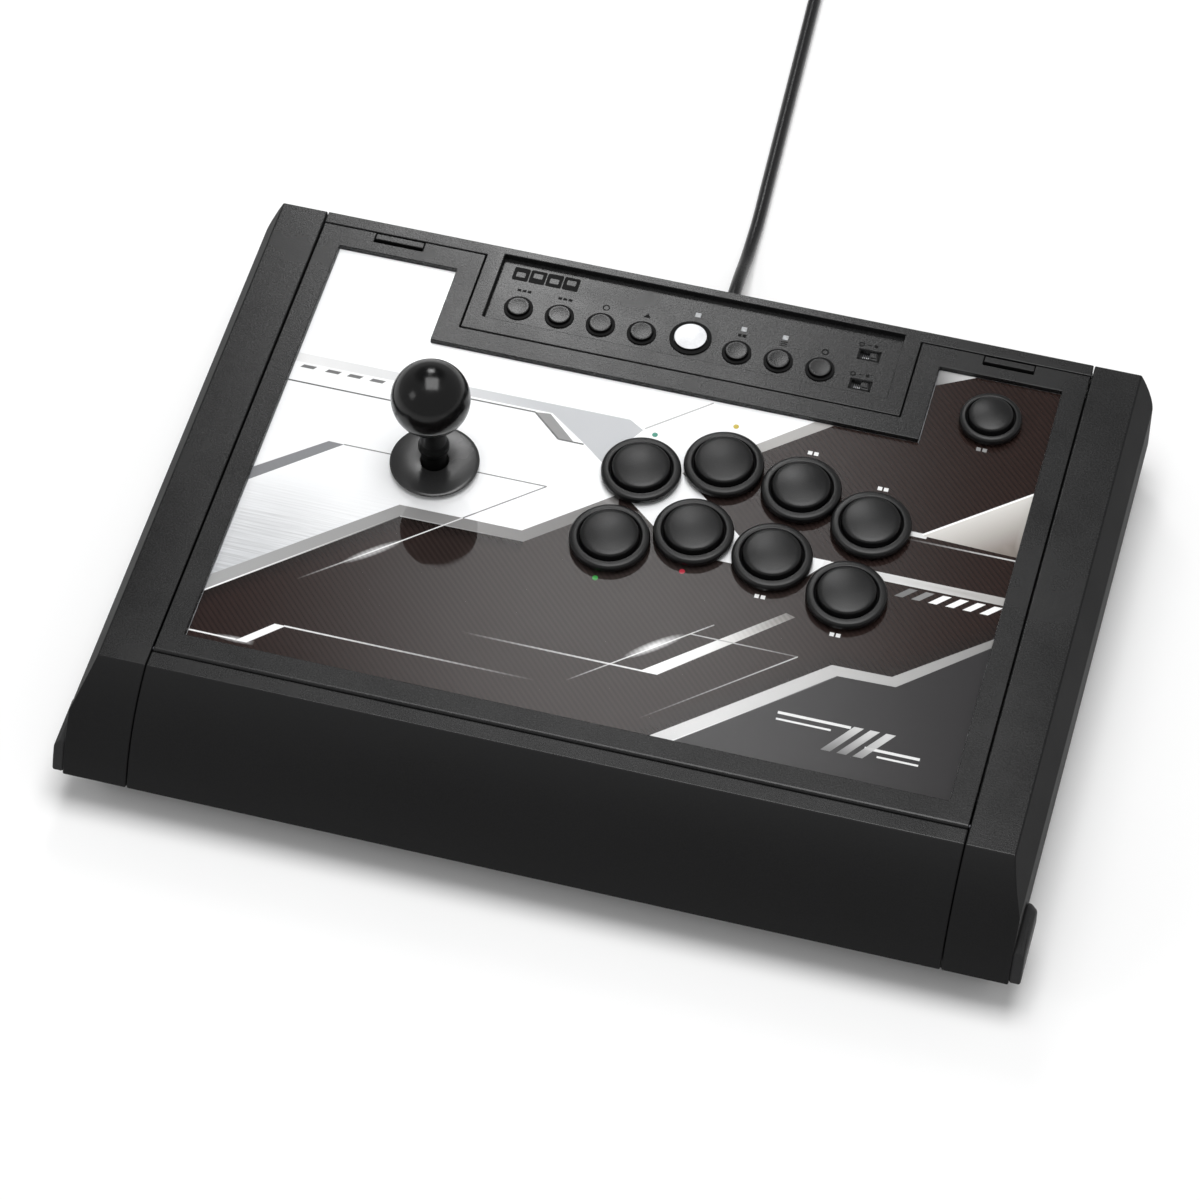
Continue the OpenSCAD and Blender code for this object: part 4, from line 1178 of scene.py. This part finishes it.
def artwork():
    """Generic panels of silver over a woven ground, in the places that the real film has them."""
    film = Film()
    left, right, front, rear, notch = -169.5, 169.5, -94.5, 134, 113.3
    film.ink(window_outline(0.15), dark_ground, weave=1.0)

    # lower right: a silver band with its shadow, over a plain dark panel
    band_top = [(37, -93.5), (104.5, -37), (130.8, -36.6), (right, -5.4)]
    band_foot = [(right, -10.2), (133.6, -41.4), (108, -42.1), (46.5, front)]
    film.ink(
        [(22, front), (101, -27.4), (128, -27), (right, 6), *reversed(band_top)],
        tone(34, 30, 29), halo(band_top, 9.5, 0.75), weave=0.6,
    )
    film.ink([*band_foot, (right, front)], tone(54, 53, 54))
    film.ink([(36, front), *band_top, *band_foot],
             grade(tone(214), tone(140, 139, 138), (60, -80), (right, -8)))
    film.line((46.8, -93.8), (108.1, -42.3), 0.6, 235, (48, -93), (108, -42))

    # upper left: the light panel, its silver border with a shadow, and the lines on it
    edge = [(left, -59.4), (-100, -1.2), (-44, -1.2), (-8, 29)]
    outer = [(left, -68.1), (-97.9, -7.2), (-41.7, -7), (-6.5, 22.5)]
    film.ink(
        [*outer[:3], (-41.7, -15), (-97.9, -16), (left, -80)],
        tone(27, 24, 23), halo(outer[:3], 8, 0.75), weave=0.6,
    )
    film.ink(edge + outer[::-1], grade(tone(164), tone(116, 114, 113), (-160, -50), (-20, 20)))
    film.line(outer[0], outer[1], 0.8, 250, (-160, -60), (-98, -7))
    film.line(outer[1], outer[2], 0.5, 190, (-98, -7), (-50, -7))
    film.ink([(16, 47.6), (66.4, 90.9), (75, 90.9), (46.9, 67.5), (22, 46.5)], tone(168, 166, 164))
    film.ink(
        [*edge, (-1.1, 25.7), (9.9, 16.9), (24.4, 4.7), (81.5, 4.7), (91, 16.9), (53, 16.9),
         (16, 47.6), (66.4, 90.9), (-notch, 90.9), (-notch, rear), (left, rear)],
        silver_light,
        brush=lambda p: unit((4 - p.y) / 30) * unit((-60 - p.x) / 50),
    )
    film.ink(
        [(left, 65.3), (-48.7, 65.6), (-29.9, 52.1), (-20, 44.3), (-7, 66.5), (-14, 70.8),
         (left, 70.3)],
        grade(tone(232), tone(188, 190, 193), (-160, 66), (-60, 66)),
    )
    film.line((-6.4, 67.5), (19.6, 89.4), 0.7, 176)
    film.ink([(-56.2, 64.2), (-49.4, 65), (-35.2, 52.2), (-42.2, 51.8)], tone(140))
    run = [(left, 54.1), (-112, 54.1), (-100, 64), (-56.2, 64.2), (-42.2, 52), (-30.5, 52)]
    film.path(run, 0.8, 96)
    for x in (-165.8, -154.2, -144, -133.4):
        film.block(x, x + 6.2, 62.4, 64.2, tone(112), 1.4)
    film.ink([(left, 2.2), (-140.7, 25), (-133.6, 24.8), (left, -5.2)], tone(132, 133, 136))
    film.path([(-133.6, 24.8), (-40, 25), (-71, -1.2)], 0.6, 120)
    film.line((-71, -1.2), (-94, -20.6), 0.6, 228)
    film.line((-94, -20.6), (-131.8, -51.8), 0.7, 240, (-94, -20.6), (-131.8, -51.8))
    film.glint((-104, -29), (0.77, 0.64), 15, 2.4, tone(240), 0.75)

    # lower left: a line that steps up over a slanted white band
    film.line((left, -89.5), (-147.5, -89.5), 0.8, 238)
    film.block(-147.5, -142.5, -89.9, -77.2, tone(248), 13.8)
    film.line((-129.5, -77.3), (-17, -77.3), 0.8, 230, (-120, -77), (-17, -77))
    film.glint((-147, -89.4), (1, 0), 11, 1.8, tone(250), 0.5)

    # middle: a fading line, its bright band, and the thin rhomb beside it
    film.line((-55.8, -60.8), (26.2, -60.8), 0.8, 232, (26, -61), (-50, -61))
    film.ink(
        [(25.3, -61.2), (33.2, -61.2), (83.2, -16.5), (78.9, -15.2)],
        grade(tone(250), tone(196, 194, 190), (40, -55), (80, -18)),
        fade((55, -40), (81, -16), 0.7),
    )
    film.line((41.7, -36.6), (89.3, -36.6), 0.6, 170, (60, -36), (100, -36))
    film.line((89.3, -36.6), (31, -85.5), 0.6, 190, (86, -38), (31, -85))
    film.line((-4, -74), (50.4, -29.3), 0.6, 242, cover=halo([(22, -52), (32, -44)], 34, 0.95))
    film.glint((28, -46.9), (0.77, 0.64), 15, 2.8, tone(252), 0.95)

    # right: a pale corner behind the strip, bar, wedge, silver strip and the row of slanted dashes
    film.ink([(113.2, rear), (131, rear), (113.2, 124.5)],
             grade(tone(120), tone(214), (114, 126), (128, 134)))
    film.block(104, 128.5, 39.3, 41.9, tone(226))
    film.line((121, 37.4), (right, 37.4), 0.8, 205, (right, 37), (118, 37))
    dull, bright, ridge = tone(132, 124, 118), tone(214, 212, 208), [(128, 42), (right, 75.4)]
    film.ink([(126.5, 40.6), (right, 75.9), (right, 39.4)],
             lambda p: dull.lerp(bright, nearness(p, ridge, 22)))
    film.line((126.5, 41.2), (right, 75.9), 1.0, 252)
    film.block(88, right, 12.4, 16.7, grade(tone(236), tone(176, 174, 172), (95, 14), (150, 14)))
    levels = (120, 135, 244, 244, 244, 244)
    for x, level in zip((121.8, 129.3, 136.9, 144.5, 152.1, 159.7), levels):
        film.block(x, x + 3.8, 5.8, 11.2, tone(level), 5.6)

    signs(film)
    holes = [circle(node_centre(name), BUTTON_HOLE) for name in BUTTONS[:-1]]
    holes += [circle(node_centre("option_button"), OPTION_HOLE), circle(STICK, LEVER_HOLE)]
    window = (-ART_HIGH.x, ART_HIGH.x, ART_LOW.y, ART_HIGH.y)
    sheet = film.sheet("printed_artwork", window, holes, ART_LOW.z, ART_HIGH.z - 0.02)
    settle(sheet, "lid", "printed_sheet", "art_sheet")


def signs(film):
    """Generic coloured dots and bars that tell the buttons apart, and a plain badge of bars."""
    for spot, colour in (
        ((-6.1, -18), tone(60, 150, 70)), ((29.6, -5), tone(176, 50, 66)),
        ((-1.2, 65.3), tone(60, 140, 120)), ((32.6, 79), tone(190, 170, 60)),
    ):
        film.ink(circle(spot, 1.3, 16), colour)
    for x, y, level in (
        (65.7, -9.6, 232), (69.4, 73, 232), (103.9, 61.4, 232), (102, -21.2, 232), (141.1, 94, 150),
    ):
        for start in (x - 2.4, x + 0.4):
            film.block(start, start + 2, y - 1, y + 1, tone(level))
    for bar in (
        (88, 120, -67.6, -66.2), (88, 112, -70.8, -69.8),
        (128, 152, -76.2, -74.8), (134, 152, -79.2, -78.2),
    ):
        film.block(*bar, tone(226))
    shine = grade(tone(120), tone(215), (118, -81), (124, -66))
    for x in (110, 117, 124):
        film.block(x, x + 4.2, -81, -66, shine, 11.3, 0.9)


# ---- works inside: screws, switches and boards ----


SHANKS = {2.8: 1.6, 3.0: 1.25, 3.5: 2.1}  # radius of the shank for each radius of the head
BOARD_THICK = 1.6
ON_BOARD = 0.02  # faces higher than this over a board are those of its parts


def screw(bm, low, high):
    """Pan head with a hexagon socket, facing down, and a threaded shank above it."""
    x, y = (low.x + high.x) / 2, (low.y + high.y) / 2
    head = (high.x - low.x) / 2
    shank = SHANKS[round(head, 1)]
    seat = low.z + (2.2 if head > 3.2 else 1.6)
    profile = [(0, low.z + 1.1), (1.2, low.z + 1.1, 6), (1.3, low.z + 0.1, 6), (1.6, low.z)]
    profile += [(head - 0.7, low.z), (head - 0.2, low.z + 0.3), (head, low.z + 0.8)]
    profile += [(head, seat), (shank, seat)]
    pitch = 0.9
    turns = int((high.z - seat - 1) / pitch)
    for k in range(turns):
        profile += [(shank, seat + 0.3 + pitch * k), (shank - 0.25, seat + 0.3 + pitch * (k + 0.5))]
    profile += [(shank, high.z - 0.5), (shank - 0.5, high.z), (0, high.z)]
    lathe(bm, profile, (x, y, 0), 36)


def screws():
    for node, body, look in (("case_screws", "base", DARK_SCREW), ("lid_screws", "lid", ZINC)):
        bm = bmesh.new()
        for low, high in islands(node):
            screw(bm, low, high)
        piece(node + "_turned", bm, look, body, "steel", node)


def button_works():
    """A microswitch under each large button: a case in two halves, its plunger and two blades."""
    cases, pins, blades = bmesh.new(), bmesh.new(), bmesh.new()
    for low, high in islands("button_switches"):
        x, y = (low.x + high.x) / 2, (low.y + high.y) / 2
        base, top = low.z + 7, high.z - 4.8
        for a, b in ((-3.2, -0.06), (0.06, 3.2)):
            rounded_block(cases, (x - 10, y + a, base), (x + 10, y + b, top), 0.35)
        rounded_block(cases, (x - 9.2, y - 2.6, base + 0.6), (x + 9.2, y + 2.6, top - 0.5), 0.3)
        for ear, leg in ((x - 9, x - 7), (x + 9, x + 7)):
            rounded_block(cases, (ear - 1, y - 3.2, top - 0.4), (ear + 1, y + 3.2, high.z), 0.3)
            foot, root = (leg - 0.4, y - 2.4, low.z), (leg + 0.4, y + 2.4, base + 0.3)
            rounded_block(blades, foot, root, 0.3)
        rounded_block(pins, (x - 1.5, y - 1.5, top - 0.3), (x + 1.5, y + 1.5, top + 1), 0.35)
    piece("microswitch_cases", cases, SWITCH, "lid", "switch_plastic", "button_switches")
    piece("microswitch_plungers", pins, CONNECTOR, "lid", "switch_plastic")
    piece("microswitch_blades", blades, BRASS, "lid", "steel")


def soldered(node, body, slot, look, level, other):
    """A board with softened edges, whose parts above a level are of another material."""
    board = moulded(node, body, slot, look, 0.15, 2, 40)
    return paint_faces(board, other, lambda c, n: c.z > level + ON_BOARD)


def small_parts(bm, spots, low, size):
    """Chip parts soldered to a board, each a block of this size."""
    for x, y in spots:
        rounded_block(bm, (x - size[0] / 2, y - size[1] / 2, low - 0.05),
                      (x + size[0] / 2, y + size[1] / 2, low + size[2]), 0.15, 2)


def control_board():
    """Plates of the push switches, and small chips beside each."""
    top = node_box("status_leds")[0].z
    soldered("control_board", "base", "circuit_board", BOARD, top, SWITCH)
    plates, chips = bmesh.new(), bmesh.new()
    caps = [node_centre(name) for name in SMALL + ["home_button"]]
    small_parts(plates, [(c.x, c.y) for c in caps], top + 0.9, (5, 5, 0.13))
    for c in caps:
        small_parts(chips, [(c.x + 8.5, c.y + d) for d in (-3, 0, 3)], top, (2, 1.2, 0.55))
    small_parts(chips, [(-70, 139), (-30, 139), (60, 139)], top, (7, 5, 1.4))
    for name in KNOBS:
        low, y = node_box(name)[0], node_centre(name).y
        spots = [(low.x - 3 + 0.8 * k, y) for k in range(4)]
        small_parts(plates, spots, low.z - 0.3, (0.35, 3.6, 0.2))
    piece("tact_switch_plates", plates, ZINC, "base", "steel")
    piece("control_board_chips", chips, SWITCH, "base", "switch_plastic")


def main_board():
    """Legs of the two large chips, small chips, connector pins and three round capacitors."""
    top = node_box("main_board")[0].z + BOARD_THICK
    board = soldered("main_board", "base", "circuit_board", BOARD, top, SWITCH)
    paint_faces(board, CONNECTOR, lambda c, n: c.z > top + ON_BOARD and not 80 < c.y < 110)
    chips, legs, cans = bmesh.new(), bmesh.new(), bmesh.new()
    for x, y, half, count in ((-5, 97, 9, 14), (25, 97, 6, 8)):
        for k in range(count):
            slide = (k - (count - 1) / 2) * 1.15
            spots = [(x + slide, y + side * (half + 0.7)) for side in (-1, 1)]
            small_parts(legs, spots, top, (0.45, 1.7, 0.35))
            if count > 10:
                spots = [(x + side * (half + 0.7), y + slide) for side in (-1, 1)]
                small_parts(legs, spots, top, (1.7, 0.45, 0.35))
    for x in (-40, -22, -4, 14, 32):
        small_parts(legs, [(x + 2 + 2 * k, 67) for k in range(5)], top + 6, (0.6, 0.6, 0.38))
    spots = [(x, y) for x in range(-46, 50, 8) for y in (76, 80, 116)]
    small_parts(chips, spots, top, (2.1, 1.3, 0.6))
    can = [
        (0, 0), (2.7, 0), (3, 0.3), (3, 1), (2.8, 1.3), (3, 1.6), (3, 5.6), (2.7, 5.9), (1.9, 5.9),
        (1.7, 5.75), (0, 5.75),
    ]
    for x, y in ((-38, 100), (-30, 100), (42, 104)):
        lathe(cans, can, (x, y, top), 40)
    piece("main_board_chips", chips, SWITCH, "base", "switch_plastic")
    piece("main_board_legs", legs, ZINC, "base", "steel")
    piece("main_board_capacitors", cans, ZINC, "base", "steel")


def stick_board():
    """Solder on top of the board that carries the lever's four switches."""
    top = node_box("stick_switches")[1].z
    under = top - BOARD_THICK
    soldered("stick_switches", "lid", "switch_plastic", SWITCH, under, BOARD)
    solder = bmesh.new()
    dome = [(0.95, 0), (0.8, 0.2), (0.45, 0.4), (0.3, 0.7), (0, 0.75)]
    for k in range(12):
        a = math.radians(90 * (k // 3) + 14 * (k % 3 - 1))
        spot = STICK + 19 * Vector((math.cos(a), math.sin(a)))
        lathe(solder, dome, (*spot, top - 0.02), 16)
    piece("stick_board_solder", solder, ZINC, "lid", "steel")


studio()
make_cord()
case()
controls()
strip()
lever()
artwork()
screws()
button_works()
control_board()
main_board()
stick_board()
